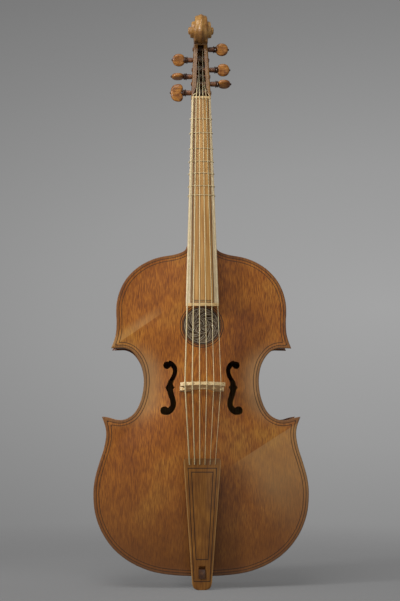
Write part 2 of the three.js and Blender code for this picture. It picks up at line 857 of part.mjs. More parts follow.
// Nut, a saddle for the strings between fingerboard and pegbox
const nutY = (x) => boardTop(nutHeight) - nutLift + boardDrop(x);
const nutRing = (z) => [
  ...crownShares.map((share) => [share * boardNutHalf, nutY(share * boardNutHalf), z]),
  [boardNutHalf, neckFace(nutHeight) - glueGap, z],
  [-boardNutHalf, neckFace(nutHeight) - glueGap, z],
];
piece("nut", loft([nutHeight, nutTop].map(nutRing)), bone);

// Neck with its heel, a rounded section that deepens and squares up towards the body
const neckBackShares = [0, 0.125, 0.25, 0.375, 0.5, 0.625, 0.75, 0.875, 1];
const heelShares = [0, 0.08, 0.2, 0.35, 0.55, 0.78, 1];
const heelFoot = bodyTop + glueGap;
const heelBack = ribDepthAtNeck + backThickness;

function neckRing(z, swell) {
  const half = boardHalf(z) - neckInset;
  const slim = alongNeck(z, neckDepthAtHeel, neckDepthAtNut);
  const depth = between(slim, heelBack - neckFace(z), swell);
  const power = 2 / (2 + swell);
  return neckBackShares.map((share) => {
    const angle = Math.PI * share;
    const x = half * Math.sign(Math.cos(angle)) * Math.abs(Math.cos(angle)) ** power;
    return [x, neckFace(z) + depth * Math.sin(angle) ** power, z];
  });
}

const neckRings = heelShares.map((share) => neckRing(heelFoot + heelRun * share, (1 - share) ** 2.4));
const neckShaft = loft([...neckRings, neckRing(nutHeight, 0), neckRing(nutTop + glueGap, 0)]);

// Pegbox, tapering upwards, with an open front
const pegboxFoot = nutTop + glueGap;
const pegboxTop = pegboxFoot + pegboxLength;
const pegboxHalfAtNut = boardNutHalf + pegboxNutLedge;
const upPegbox = (z, atNut, atTop) => between(atNut, atTop, (z - pegboxFoot) / pegboxLength);
const pegboxHalf = (z) => upPegbox(z, pegboxHalfAtNut, pegboxHalfAtTop);
const pegboxFront = (z) => neckFaceAtNut - pegboxFrontStep + slope(pegboxAngle) * (z - pegboxFoot);
const pegboxBack = (z) => pegboxFront(z) + upPegbox(z, pegboxDepthAtNut, pegboxDepthAtTop);
const pegAxis = (z) => pegboxFront(z) + pegAxisDepth;
const cavityHalf = (z) => upPegbox(z, cavityHalfAtNut, cavityHalfAtTop);
const windingReach = pegShaftRadius + runningGap + Math.max(...stringDiameters) + cavityClearance;
const cavityBack = (z) => pegAxis(z) + windingReach;
const pegHeights = pegPlaceShares.map((share) => pegboxFoot + share * pegboxLength);

const chinFoot = pegboxFoot - pegboxChin;
const chinShare = 0.3;
const pegboxSide = sideways(
  [
    [neckFace(chinFoot), chinFoot],
    [neckFace(chinFoot) + neckDepthAtNut, chinFoot],
    [pegboxBack(pegboxFoot), pegboxFoot - pegboxChin * chinShare],
    [pegboxBack(pegboxTop), pegboxTop],
    [pegboxFront(pegboxTop), pegboxTop],
    [pegboxFront(pegboxFoot), pegboxFoot],
    [neckFace(pegboxFoot), pegboxFoot],
  ],
  pegboxHalfAtNut + cutOverrun,
);

function tapered(half, low, high) {
  return [
    [-half(low), low],
    [half(low), low],
    [half(high), high],
    [-half(high), high],
  ];
}

const pegboxDeep = pegboxBack(pegboxTop) + cutOverrun;
const pegboxBlank = facing(tapered(pegboxHalf, chinFoot, pegboxTop), -cutOverrun, pegboxDeep).intersect(
  pegboxSide,
);
const cavityTop = pegboxTop - cavityTopWall;
const cavityMouthHalf = boardNutHalf - nutEdgeMargin + cavityMouthClearance;
const mouthTop = pegboxFoot + cavityFlare;
const cavityFront = facing(
  [
    [-cavityMouthHalf, pegboxFoot],
    [cavityMouthHalf, pegboxFoot],
    [cavityHalf(mouthTop), mouthTop],
    [cavityHalf(cavityTop), cavityTop],
    [-cavityHalf(cavityTop), cavityTop],
    [-cavityHalf(mouthTop), mouthTop],
  ],
  -cutOverrun,
  pegboxDeep,
);
const cavitySide = sideways(
  [
    [-cutOverrun, pegboxFoot],
    [cavityBack(pegboxFoot), pegboxFoot],
    [cavityBack(cavityTop), cavityTop],
    [-cutOverrun, cavityTop],
  ],
  pegboxHalfAtNut,
);

// Scroll, two turns of a spiral that widen to the eyes
const voluteSteps = 14;
const voluteStartShare = -0.1;
const turnRadiusShares = [1, 0.66, 0.38];
const voluteRiseShare = 0.84;
const voluteDepth = pegboxBack(pegboxTop) - voluteRadius;
const voluteHeight = pegboxTop + voluteRadius * voluteRiseShare;

function spiralTurn(turn, half) {
  const points = [];
  for (let i = 0; i < voluteSteps; i++) {
    const share = i / voluteSteps;
    const angle = 2 * Math.PI * (share + voluteStartShare);
    const radius = voluteRadius * between(turnRadiusShares[turn], turnRadiusShares[turn + 1], share);
    points.push([voluteDepth + radius * Math.cos(angle), voluteHeight + radius * Math.sin(angle)]);
  }
  return sideways(points, half);
}

const eye = sideways(circle(voluteDepth, voluteHeight, eyeRadius, roundSides / 2), eyeHalf);
const throat = sideways(
  [
    [pegboxFront(cavityTop), cavityTop],
    [pegboxBack(cavityTop), cavityTop],
    [pegboxBack(pegboxTop), pegboxTop],
    [voluteDepth + voluteRadius, voluteHeight],
    [voluteDepth, voluteHeight],
  ],
  voluteEdgeHalf,
);
const scroll = spiralTurn(0, voluteEdgeHalf).add(spiralTurn(1, voluteTurnHalf)).add(eye).add(throat);

// Tapered pegs run through both cheeks. Each string winds on the side of its own head.
function turned(profile, sideCount) {
  const points = profile.map(([radius, along]) => new THREE.Vector2(radius, along));
  const geometry = new THREE.LatheGeometry(points, sideCount);
  return solidOf(geometry.rotateZ(-Math.PI / 2));
}

function pegShaft(cheek, grow) {
  const tip = -cheek - pegTipReach;
  const collar = cheek + pegCollarOut;
  return turned(
    [
      [0, tip],
      [pegTipRadius + grow, tip],
      [pegShaftRadius + grow, collar],
      [0, collar],
    ],
    roundSides,
  );
}

const pegHeadShares = [
  [0, 0.2],
  [0.1, 0.55],
  [0.3, 0.92],
  [0.52, 1],
  [0.76, 0.84],
  [0.93, 0.45],
];
const pegBevelShare = 0.3;
const pegCollarShares = [
  [0.8, 0],
  [1, 0.25],
  [1, 0.6],
  [0.7, 1],
];
const pegButtonShares = [
  [1, 0],
  [1.25, 0.5],
  [0.8, 1],
];

function pegSolid(cheek, headHalf) {
  const collar = cheek + pegCollarOut;
  const head = collar + pegCollarLength + pegHeadStep;
  const end = head + pegHeadLength;
  const button = turned(
    [
      [0, end - pegButtonRadius],
      ...pegButtonShares.map(([r, a]) => [r * pegButtonRadius, end + (2 * a - 1) * pegButtonRadius]),
      [0, end + pegButtonRadius],
    ],
    roundSides / 2,
  );
  const collarRing = turned(
    [
      [0, collar],
      ...pegCollarShares.map(([r, a]) => [r * pegCollarRadius, collar + a * pegCollarLength]),
      [pegNeckRadius, head + pegHeadThickness / 2],
      [0, head + pegHeadThickness / 2],
    ],
    roundSides,
  );
  const bevel = pegBevelShare * pegHeadThickness;
  const upper = pegHeadShares.map(([along, across]) => [
    head + bevel + along * (pegHeadLength - 2 * bevel),
    across * (headHalf - bevel),
  ]);
  const outline = [...upper, [end - bevel, 0], ...upper.map(([x, y]) => [x, -y]).reverse()];
  const shape = new THREE.Shape(outline.map(([x, y]) => new THREE.Vector2(x, y)));
  const depth = pegHeadThickness - 2 * bevel;
  const blade = new THREE.ExtrudeGeometry(shape, {
    depth,
    bevelEnabled: true,
    bevelThickness: bevel,
    bevelSize: bevel,
    bevelSegments: 1,
  });
  blade.translate(0, 0, -depth / 2).rotateX(Math.PI / 2);
  return pegShaft(cheek, 0).add(collarRing).add(solidOf(blade)).add(button);
}

let pegboxSolid = pegboxBlank.add(scroll).subtract(cavityFront.intersect(cavitySide));
for (const [i, z] of pegHeights.entries()) {
  const bore = pegShaft(pegboxHalf(z), runningGap);
  const faced = i < 3 ? bore.rotate([0, 0, 180]) : bore;
  pegboxSolid = pegboxSolid.subtract(faced.translate([0, pegAxis(z), z]));
}
piece("neck", neckShaft.add(pegboxSolid), mapleNeck);

const pegNames = ["bass_1", "bass_2", "bass_3", "treble_3", "treble_2", "treble_1"];
for (const [i, z] of pegHeights.entries()) {
  const broad = i === 0 ? pegBroadHeadHalf : pegHeadHalf;
  const mesh = piece(`peg_${pegNames[i]}`, pegSolid(pegboxHalf(z), broad), pegWood);
  mesh.position.set(0, pegAxis(z), z);
  mesh.rotation.set(THREE.MathUtils.degToRad(pegTurns[i]), 0, i < 3 ? Math.PI : 0);
}

// Gut frets, each a loop tied square to the fingerboard round board and neck
const fretTilt = slope(boardAngle);
const cornerTurn = 0.8;

function neckContour(z) {
  const backLoop = neckRing(z, 0).slice(1, -1);
  const corner = [boardHalf(z), boardBottom(z)];
  return [...crownLine(z), corner, ...backLoop.map(([x, y]) => [x, y]), [-corner[0], corner[1]]];
}

// The contour grown outwards by a distance, with its sharp corners rounded
function grownContour(z, distance) {
  const points = neckContour(z);
  return points.flatMap((point, i) => {
    const incoming = direction(points.at(i - 1), point);
    const outgoing = direction(point, points[(i + 1) % points.length]);
    const normals = [incoming, outgoing].map(([x, y]) => [y, -x]);
    const sum = [normals[0][0] + normals[1][0], normals[0][1] + normals[1][1]];
    const sharp = incoming[0] * outgoing[0] + incoming[1] * outgoing[1] < cornerTurn;
    const size = Math.hypot(...sum);
    const middle = sharp ? [sum[0] / size, sum[1] / size] : [(2 * sum[0]) / size ** 2, (2 * sum[1]) / size ** 2];
    const moves = sharp ? [normals[0], middle, normals[1]] : [middle];
    return moves.map(([x, y]) => [point[0] + x * distance, point[1] + y * distance]);
  });
}

function fretPath(z) {
  const reach = runningGap + fretDiameter / 2;
  const level = grownContour(z, reach);
  return level.map(([, y], i) => {
    const tilted = z - fretTilt * (y - boardTop(z));
    const [atX, atY] = grownContour(tilted, reach)[i];
    return new THREE.Vector3(atX, atY, tilted);
  });
}

const stringLength = nutHeight - bridgeLevel - bridgeLean;
for (const [i, share] of fretShares.entries()) {
  const path = fretPath(nutHeight - share * stringLength);
  piece(`fret_${i + 1}`, tube(path, fretDiameter / 2, windingSides, true), gut);
}

// Bridge, standing on two feet cut to the arching and thinner at its crown
const bridgeFootTop = -(plateThickness + archHeight + bridgeFootHeight);
const bridgeSideShares = [
  [1, 0],
  [0.87, 0.08],
  [0.79, 0.28],
  [0.81, 0.52],
  [0.92, 0.72],
  [1, 0.84],
  [1, 1],
];
const bridgeArchShares = [
  [0.94, 0.3],
  [0.78, 0.62],
  [0.48, 0.9],
  [0, 1],
];
const bridgeHeartShares = [0, 0.52];
const bridgeEyeShares = [0.52, 0.5];
const bridgeHeartRadius = 8;
const bridgeEyeRadius = 6;
const stringSlope = (boardLength * slope(boardAngle) + boardEndLift - nutLift) / boardLength;
const bridgeCrown = stringSlope * stringLength + nutLift - boardTopAtNut;
const bridgeDrop = (x) => bridgeCrownRadius - Math.sqrt(bridgeCrownRadius ** 2 - x ** 2);
const bridgeShoulder = bridgeDrop(bridgeHalf) - bridgeCrown;
const bridgeFootInner = bridgeHalf - bridgeFootWidth;
const bridgeRight = [
  [bridgeFootInner, 0],
  [bridgeHalf, 0],
  ...bridgeSideShares.map(([x, y]) => [x * bridgeHalf, between(bridgeFootTop, bridgeShoulder, y)]),
  ...crownShares.slice(4, -1).reverse().map((share) => [share * bridgeHalf, bridgeDrop(share * bridgeHalf) - bridgeCrown]),
];
const bridgeArch = bridgeArchShares.map(([x, y]) => [
  x * bridgeFootInner,
  -plateThickness - archHeight - y * bridgeArchRise,
]);
const bridgeLeft = bridgeRight.map(([x, y]) => [-x, y]).reverse();
const bridgeArchLeft = bridgeArch.slice(0, -1).map(([x, y]) => [-x, y]);
const bridgeOutline = [...bridgeRight, [0, -bridgeCrown], ...bridgeLeft, ...bridgeArchLeft, ...bridgeArch.reverse()];
const bridgeHoles = [
  [...bridgeHeartShares, bridgeHeartRadius],
  [...bridgeEyeShares, bridgeEyeRadius],
  [-bridgeEyeShares[0], bridgeEyeShares[1], bridgeEyeRadius],
].map(([x, y, radius]) =>
  circle(x * bridgeHalf, between(bridgeFootTop, bridgeShoulder, y), radius, roundSides / 2),
);
const bridgeThick = bridgeBaseThickness + bridgeLean + cutOverrun;
const bridgeBlank = extruded(
  bridgeOutline,
  2 * bridgeThick,
  new THREE.Matrix4().setPosition(0, 0, bridgeLevel - bridgeThick),
  bridgeHoles,
);
const bridgeWedge = sideways(
  [
    [0, bridgeLevel - bridgeBaseThickness / 2],
    [0, bridgeLevel + bridgeBaseThickness / 2],
    [-bridgeCrown, bridgeLevel + bridgeLean + bridgeCrownThickness / 2],
    [-bridgeCrown, bridgeLevel + bridgeLean - bridgeCrownThickness / 2],
  ],
  bridgeHalf + cutOverrun,
);
const bridge = bridgeBlank
  .intersect(bridgeWedge)
  .subtract(archedSlab(plateThickness + glueGap, archHeight + cutOverrun));
piece("bridge", bridge, bridgeMaple);

// Tailpiece, held down by the hook bar through its mortise
const tailFace = (z) => between(tailFootY, tailTopY, z / tailTopHeight);
const tailEndShares = [
  [0, 0],
  [0.2, 0.5],
  [0.5, 0.8],
  [1, 1],
];
const tailTopShares = [
  [0.97, 1],
  [0.99, 0.985],
  [1, 0.94],
];
const tailCrownShares = [-1, -0.5, 0, 0.5, 1];

function tailRing(half, z) {
  const faceLine = tailCrownShares.map((share) => [share * half, tailFace(z) + tailCrown * share ** 2, z]);
  const rearY = tailFace(z) + tailThickness;
  return [...faceLine, [half, rearY, z], [-half, rearY, z]];
}

const tailRings = [
  ...tailEndShares.map(([z, x]) => tailRing(between(tailEndHalf, tailFootHalf, x), tailEndHeight + z * tailEndRun)),
  ...tailTopShares.map(([z, x]) => tailRing(x * tailTopHalf, z * tailTopHeight)),
];
const tailHoleHeight = tailTopHeight - tailHoleDrop;
const middleString = (stringDiameters.length - 1) / 2;
const tailX = (i) => (i - middleString) * tailStringPitch;
const tailDeep = tailTopY - cutOverrun;
const tailHoles = stringDiameters.map((diameter, i) =>
  facing(circle(tailX(i), tailHoleHeight, diameter / 2 + tailHoleClearance, roundSides / 2), tailDeep, 0),
);
const mortise = box(-mortiseHalf, mortiseHalf, tailDeep, 0, mortiseBottom, mortiseTop);
const tailpiece = [mortise, ...tailHoles].reduce((solid, hole) => solid.subtract(hole), loft(tailRings));
piece("tailpiece", tailpiece, tailWood);

// Hook bar, glued under the bottom ribs. It carries the tailpiece and is what stands on the floor.
const ribFoot = bodyRise + ribOuterInset - glueGap;
const plateFoot = bodyRise - glueGap;
const plateFront = -plateThickness - glueGap;
const hookFront = tailFace(0) + tailThickness + hookTailGap;
const hookShoulder = bodyRise + archMargin - hookShoulderDrop;
const hookLow = mortiseBottom + glueGap;
const hookRear = tailFace(hookLow) + tailThickness + glueGap;
const hookFoot = sideways(
  [
    [hookFront, 0],
    [hookFootBack, 0],
    [ribDepth - glueGap, hookHeelRise],
    [ribDepth - glueGap, ribFoot],
    [glueGap, ribFoot],
    [glueGap, plateFoot],
    [plateFront, plateFoot],
    [plateFront, hookShoulder],
    [hookFront, hookShoulder],
  ],
  hookBarHalf,
);
const hookTipFront = tailFace(hookLow) - hookTipReach;
const hookTip = sideways(
  [
    [hookFront, hookShoulder],
    [hookRear, hookShoulder],
    [hookTipFront, hookLow + hookTipHeight],
    [hookTipFront, hookLow],
    [hookRear, hookLow],
    [hookFront, hookHeelRise],
    [plateFront, hookHeelRise],
    [plateFront, hookShoulder],
  ],
  mortiseHalf - tailHoleClearance,
);
piece("hook_bar", hookFoot.add(hookTip), mapleBody);

// Strings run from the tailpiece over bridge and nut to the pegs.
const nutStringPitch = (boardNutHalf - nutEdgeMargin) / middleString;

function spread(i, pitch) {
  return (i - middleString) * pitch;
}

function stringPath(i) {
  const radius = stringDiameters[i] / 2;
  const lift = radius + glueGap;
  const tail = tailX(i);
  const tailY = tailFace(tailHoleHeight) + tailCrown * (tail / tailTopHalf) ** 2;
  const overBridge = spread(i, bridgeStringPitch);
  const bridgeY = bridgeDrop(overBridge) - bridgeCrown - lift;
  const bridgeZ = bridgeLevel + bridgeLean;
  const overNut = spread(i, nutStringPitch);
  const pegZ = pegHeights[i];
  return [
    [tail, tailFace(tailHoleHeight) + tailThickness, tailHoleHeight],
    [tail, tailY - lift, tailHoleHeight],
    [overBridge, bridgeY, bridgeZ - bridgeCrownThickness / 2],
    [overBridge, bridgeY, bridgeZ + bridgeCrownThickness / 2],
    [overNut, nutY(overNut) - lift, nutHeight],
    [overNut, nutY(overNut) - lift, nutTop + radius],
    [pegSlot(i), pegAxis(pegZ) - pegShaftRadius - runningGap - radius, pegZ],
  ].map((place) => new THREE.Vector3(...place));
}

const windingPitch = (i) => stringDiameters[i] + windingGap;
const windingWay = (i) => (i < middleString ? 1 : -1);

function pegSlot(i) {
  const length = (windingTurns + 1) * windingPitch(i);
  return (-windingWay(i) * length) / 2;
}

// The wound end of each string is an unbroken tube that turns with its peg.
function windingPath(i) {
  const radius = pegShaftRadius + runningGap + stringDiameters[i] / 2;
  const start = pegSlot(i) + windingWay(i) * windingPitch(i);
  const points = [];
  for (let step = 0; step <= windingTurns * windingSteps; step++) {
    const turns = step / windingSteps;
    const angle = 2 * Math.PI * turns;
    const x = start + windingWay(i) * windingPitch(i) * turns;
    const y = pegAxis(pegHeights[i]) - radius * Math.cos(angle);
    points.push(new THREE.Vector3(x, y, pegHeights[i] + radius * Math.sin(angle)));
  }
  return points;
}

function leastGap(path, diameter) {
  let least = Infinity;
  for (let i = 0; i < path.length; i++) {
    for (let j = i + windingSteps / 2; j < path.length; j++) {
      least = Math.min(least, path[i].distanceTo(path[j]));
    }
  }
  return least - diameter;
}

for (const [i, diameter] of stringDiameters.entries()) {
  const winding = windingPath(i);
  piece(`string_${i + 1}`, tube(stringPath(i), diameter / 2, stringSides), gut);
  piece(`string_winding_${i + 1}`, tube(winding, diameter / 2, windingSides), gut);
  console.log(`winding ${i + 1}: least gap to itself ${leastGap(winding, diameter).toFixed(2)} mm`);
}

export default viol;
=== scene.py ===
"""A bass viola da gamba standing upright on its hook bar, in metres, front towards -Y."""
import math

import bmesh
import bpy
from mathutils import Matrix, Vector
from mathutils.bvhtree import BVHTree
from mathutils.geometry import convex_hull_2d, intersect_line_line_2d


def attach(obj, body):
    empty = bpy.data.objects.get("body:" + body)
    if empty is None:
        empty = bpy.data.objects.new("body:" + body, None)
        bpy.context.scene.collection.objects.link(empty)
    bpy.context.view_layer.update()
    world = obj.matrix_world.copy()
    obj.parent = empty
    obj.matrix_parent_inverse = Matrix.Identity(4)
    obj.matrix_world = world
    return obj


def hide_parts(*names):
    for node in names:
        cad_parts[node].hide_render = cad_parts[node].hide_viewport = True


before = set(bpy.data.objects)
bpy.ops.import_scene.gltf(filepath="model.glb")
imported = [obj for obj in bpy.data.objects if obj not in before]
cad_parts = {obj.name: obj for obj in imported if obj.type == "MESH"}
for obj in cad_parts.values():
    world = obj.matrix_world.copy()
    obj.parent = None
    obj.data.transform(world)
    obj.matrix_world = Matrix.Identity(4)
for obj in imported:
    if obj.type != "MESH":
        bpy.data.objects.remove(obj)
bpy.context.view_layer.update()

# Back plate. Two matched maple boards, planed flat and bent once across the upper bouts, so
# that the body thins towards the neck. Its edge is rounded with a file and stands proud of the
# ribs; the double line of purfling let in along it is not drawn.
MM = 0.001
BODY_FOOT = 25 * MM
BODY_LENGTH = 684 * MM
BODY_TOP = BODY_FOOT + BODY_LENGTH
LOWER_HALF, WAIST_HALF, UPPER_HALF = 223.3 * MM, 120 * MM, 178 * MM
LOWER_TIP = Vector((206.5 * MM, BODY_FOOT + 328.2 * MM))
UPPER_TIP = Vector((188.15 * MM, BODY_FOOT + 470.2 * MM))
WAIST_HEIGHT = BODY_FOOT + 395.4 * MM
NECK_SEAT_HALF = 31 * MM
RIB_DEPTH, RIB_DEPTH_AT_NECK, BEND_HEIGHT = 116 * MM, 88 * MM, 565 * MM
PLATE, WELD = 4 * MM, 0.001 * MM
# The rounded edge of a plate: depth behind its face and inset, in mm
EDGE_ROUNDING = ((0, 1.2), (0.35, 0.5), (1.2, 0), (2.8, 0), (3.65, 0.5), (4, 1.2))
# Steps between two points of the outline, and how far a set-in corner may reach
OUTLINE_STEPS, SHARPEST = 6, 0.3

# Half widths and heights of the outline, as shares of each bout
LOWER_BOUT = ((0, 0), (0.224, 0.0055), (0.439, 0.0274), (0.636, 0.0807), (0.797, 0.1615),
              (0.914, 0.268), (0.981, 0.387), (1, 0.509), (0.987, 0.609), (0.947, 0.71),
              (0.906, 0.798), (0.885, 0.8775), (0.892, 0.9354))
LOWER_WAIST = ((1, 0), (0.844, -0.039), (0.697, -0.094), (0.555, -0.109), (0.42, -0.068),
               (0.283, 0.036), (0.179, 0.19), (0.098, 0.399), (0.032, 0.682), (0, 1))
UPPER_WAIST = ((0.009, 0.262), (0.073, 0.529), (0.198, 0.75), (0.367, 0.917), (0.572, 1),
               (0.777, 1.005), (1, 1))
UPPER_BOUT = ((1.029, 0.071), (1, 0.153), (0.993, 0.261), (0.999, 0.35), (0.99, 0.453),
              (0.946, 0.565), (0.861, 0.675), (0.728, 0.773), (0.565, 0.846), (0.388, 0.891),
              (0.197, 0.915), (0.088, 0.937), (0.02, 0.965), (0, 1))


def between(low, high, share):
    return low + (high - low) * share


def fair_curve(points, steps, closed=False):
    """A smooth curve through the points."""
    points = [Vector(p) for p in points]
    count = len(points)
    curve = []
    for i in range(count if closed else count - 1):
        if closed:
            a, b, c, d = (points[(i + k) % count] for k in (-1, 0, 1, 2))
        else:
            a, b, c, d = (points[min(max(i + k, 0), count - 1)] for k in (-1, 0, 1, 2))
        start, end = (c - a) / 2, (d - b) / 2
        for step in range(steps):
            t = step / steps
            curve.append((2 * b - 2 * c + start + end) * t ** 3
                         + (3 * c - 3 * b - 2 * start - end) * t ** 2 + start * t + b)
    return curve if closed else [*curve, points[-1]]


def bouts(steps=OUTLINE_STEPS):
    """The lower bout, the waist and the upper bout of the right half, from the bottom up."""
    lower = [(x * LOWER_HALF, BODY_FOOT + z * (LOWER_TIP.y - BODY_FOOT)) for x, z in LOWER_BOUT]
    waist = [(between(WAIST_HALF, LOWER_TIP.x, x), between(LOWER_TIP.y, WAIST_HEIGHT, z))
             for x, z in LOWER_WAIST]
    waist += [(between(WAIST_HALF, UPPER_TIP.x, x), between(WAIST_HEIGHT, UPPER_TIP.y, z))
              for x, z in UPPER_WAIST]
    upper = [(between(NECK_SEAT_HALF, UPPER_HALF, x), between(UPPER_TIP.y, BODY_TOP, z))
             for x, z in UPPER_BOUT]
    return [fair_curve(points, steps) for points in ([*lower, LOWER_TIP], waist, [UPPER_TIP, *upper])]


def set_in(points, inset, closed=False):
    """A curve moved inward by a small distance."""
    last = len(points) - 1
    moved = []
    for i, point in enumerate(points):
        if closed:
            before, after = point - points[i - 1], points[(i + 1) % len(points)] - point
        else:
            before = points[max(i, 1)] - points[max(i - 1, 0)]
            after = points[min(i + 1, last)] - points[min(i, last - 1)]
        way = before.normalized() + after.normalized()
        moved.append(point + Vector((-way.y, way.x)) * 2 * inset / max(way.length_squared, SHARPEST))
    return moved


def mirrored(points):
    return [Vector((-p.x, p.y)) for p in reversed(points)]


def outline(inset=0.0):
    """The whole outline as (x, z) points, set in by a small distance."""
    lower, waist, upper = bouts()
    right = [*lower, *waist[1:], *upper[1:]]
    return set_in([*right, *mirrored(right[1:])], inset, closed=True)


def back_line(z):
    """How far behind the top plate the back plate lies."""
    return between(RIB_DEPTH, RIB_DEPTH_AT_NECK, max(0, (z - BEND_HEIGHT) / (BODY_TOP - BEND_HEIGHT)))


def loft(bm, rings, caps=True):
    """Bridges closed rings of points in turn, and closes both ends."""
    loops = []
    for points in rings:
        verts = [bm.verts.new(point) for point in points]
        loops.append([bm.edges.new(pair) for pair in zip(verts, [*verts[1:], verts[0]])])
    for first, second in zip(loops, loops[1:]):
        bmesh.ops.bridge_loops(bm, edges=[*first, *second])
    if caps:
        bmesh.ops.contextual_create(bm, geom=loops[0])
        bmesh.ops.contextual_create(bm, geom=loops[-1])


def colour(code):
    """An sRGB hex value as the linear colour that a shader takes."""
    parts = [int(code[i:i + 2], 16) / 255 for i in (0, 2, 4)]
    return (*(p / 12.92 if p <= 0.04045 else ((p + 0.055) / 1.055) ** 2.4 for p in parts), 1)


def wire(node, inputs):
    """Gives inputs of a node, by name or number, a plain value or a link from a node or socket."""
    usable = [s for s in node.inputs if s.enabled]
    for key, value in inputs.items():
        socket = usable[key] if isinstance(key, int) else next(s for s in usable if s.name == key)
        if isinstance(value, bpy.types.Node):
            value = next(s for s in value.outputs if s.enabled)
        if isinstance(value, bpy.types.NodeSocket):
            node.id_data.links.new(value, socket)
        else:
            socket.default_value = value


def add(tree, kind, inputs=None, stops=(), **settings):
    """Adds a node with its settings, ramp stops and inputs."""
    node = tree.nodes.new(f"ShaderNode{kind}")
    for name, value in settings.items():
        setattr(node, name, value)
    for i, (position, code) in enumerate(stops):
        elements = node.color_ramp.elements
        element = elements[i] if i < 2 else elements.new(position)
        element.position, element.color = position, colour(code)
    wire(node, inputs or {})
    return node


def new_material(name):
    """A material's tree with the Object coordinates that its patterns start from."""
    material = bpy.data.materials.new(name)
    material.use_nodes = True
    return material, material.node_tree, add(material.node_tree, "TexCoord").outputs["Object"]


def figured(tree, place, size_mm, tones, stretch=(1, 1, 1), over=None, share=1.0, turn=0, **noise):
    """Uneven marks of a size in mm in their tones, which may darken a look, and their relief."""
    drawn_out = add(tree, "Mapping", {
        "Vector": place, "Scale": [s / (size_mm * MM) for s in stretch],
        "Rotation": (0, math.radians(turn), 0)})
    marks = add(tree, "TexNoise", {
        "Vector": drawn_out, "Scale": 1.0, "Detail": 2.0, **{name.title(): v for name, v in noise.items()}})
    look = add(tree, "ValToRGB", {"Fac": marks}, stops=tones)
    if over:
        look = add(tree, "Mix", {"Factor": share, "A": over, "B": look}, data_type="RGBA",
                   blend_type="MULTIPLY")
    return look, marks


def finish_with(material, look, relief=None, bump_mm=0.1, **plain):
    """Gives a material's shader its colour, its plain values and the relief of a pattern."""
    tree = material.node_tree
    inputs = {name.replace("_", " ").title().replace("Ior", "IOR"): value for name, value in plain.items()}
    if relief:
        inputs["Normal"] = add(tree, "Bump", {"Height": relief, "Strength": 1.0, "Distance": bump_mm * MM})
    wire(tree.nodes["Principled BSDF"], {"Base Color": look, **inputs})


def made_object(name, bm):
    """An object in the scene with a shape's mesh."""
    mesh = bpy.data.meshes.new(name)
    bm.to_mesh(mesh)
    bm.free()
    obj = bpy.data.objects.new(name, mesh)
    bpy.context.scene.collection.objects.link(obj)
    return obj


def finished(name, bm, material, body="body", replaces=(), crease=35):
    bmesh.ops.recalc_face_normals(bm, faces=bm.faces)
    for face in bm.faces:
        face.smooth = True
    for edge in bm.edges:
        edge.smooth = len(edge.link_faces) == 2 and edge.calc_face_angle(0.0) < math.radians(crease)
    obj = made_object(name, bm)
    obj.data.materials.append(material)
    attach(obj, body)
    if replaces:
        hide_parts(*replaces)


# Oil-varnished figured maple, scraped and polished: flames cross the grain in soft light and
# dark bars, and the varnish film gives a warm, slightly uneven gloss. On the bent ribs the
# flames stand across the strip, and the neck's varnish is worn paler by the hand.
FLAME_MM, PORE_MM, WEAR_MM = 10, 1.1, 110
maple = {}
for part, stretch, tones in (
        ("back", (0.16, 0.1, 1.0), ("7A4820", "9C6632", "B88046")),
        ("ribs", (1.0, 0.1, 1.0), ("72421E", "925E2E", "AC763C")),
        ("hook", (1.0, 0.1, 1.0), ("3A2212", "50311A", "684424")),
        ("neck", (0.5, 0.5, 0.6), ("94662E", "B08240", "C89C56"))):
    maple[part], tree, place = new_material(f"oil_varnished_flamed_maple_{part}")
    look = figured(tree, place, FLAME_MM, zip((0.34, 0.5, 0.68), tones), stretch, detail=3.0,
                   roughness=0.55)[0]
    look = figured(tree, place, WEAR_MM, ((0.35, "B79C86"), (0.62, "FFFFFF")), over=look)[0]
    look, pores = figured(tree, place, PORE_MM, ((0.36, "A59484"), (0.6, "FFFFFF")), (1, 1, 0.05), look, 0.6)
    finish_with(maple[part], look, pores, bump_mm=0.06, roughness=0.42, specular_ior_level=0.35,
                coat_weight=0.3, coat_roughness=0.2)

bm = bmesh.new()
loft(bm, [[(p.x, back_line(p.y) + depth_mm * MM, p.y) for p in outline(inset_mm * MM)]
          for depth_mm, inset_mm in EDGE_ROUNDING])
bmesh.ops.bisect_plane(bm, geom=[*bm.verts, *bm.edges, *bm.faces], dist=WELD,
                       plane_co=(0, 0, BEND_HEIGHT), plane_no=(0, 0, 1))
finished("back_plate_bent", bm, maple["back"], replaces=["back_plate"])

# Ribs. Six strips of the same maple, about 2 mm thick, are bent over a hot iron to the outline
# and meet in mitres at the four corners, glued to blocks and linings inside.
OVERHANG, RIB = 3.5 * MM, 2.2 * MM


def inset_bouts(inset):
    """The curves of the right half, set in, and cut where they cross at the corners."""
    curves = [set_in(curve, inset) for curve in bouts()]
    for a, b in ((0, 1), (1, 2)):
        curves[a], curves[b] = trimmed(curves[a], curves[b])
    end, slope = curves[2][-1], (curves[2][-1] - curves[2][-2])
    curves[2][-1] = end + slope * (BODY_TOP - end.y) / slope.y
    return curves


def trimmed(first, second):
    for i in reversed(range(len(first) - 1)):
        for j in range(len(second) - 1):
            meeting = intersect_line_line_2d(first[i], first[i + 1], second[j], second[j + 1])
            if meeting:
                return [*first[:i + 1], meeting], [meeting, *second[j + 1:]]
    return first, second


for name, outer, inner in zip(("lower", "waist", "upper"), inset_bouts(OVERHANG),
                              inset_bouts(OVERHANG + RIB)):
    for side_name, side in (("left", -1), ("right", 1)):
        bm = bmesh.new()
        strip = [*outer, *reversed(inner)]
        loft(bm, [[(side * p.x, 0, p.y) for p in strip],
                  [(side * p.x, back_line(p.y), p.y) for p in strip]])
        finished(f"{name}_rib_bent_{side_name}", bm, maple["ribs"],
                 replaces=[f"{name}_rib_{side_name}"])

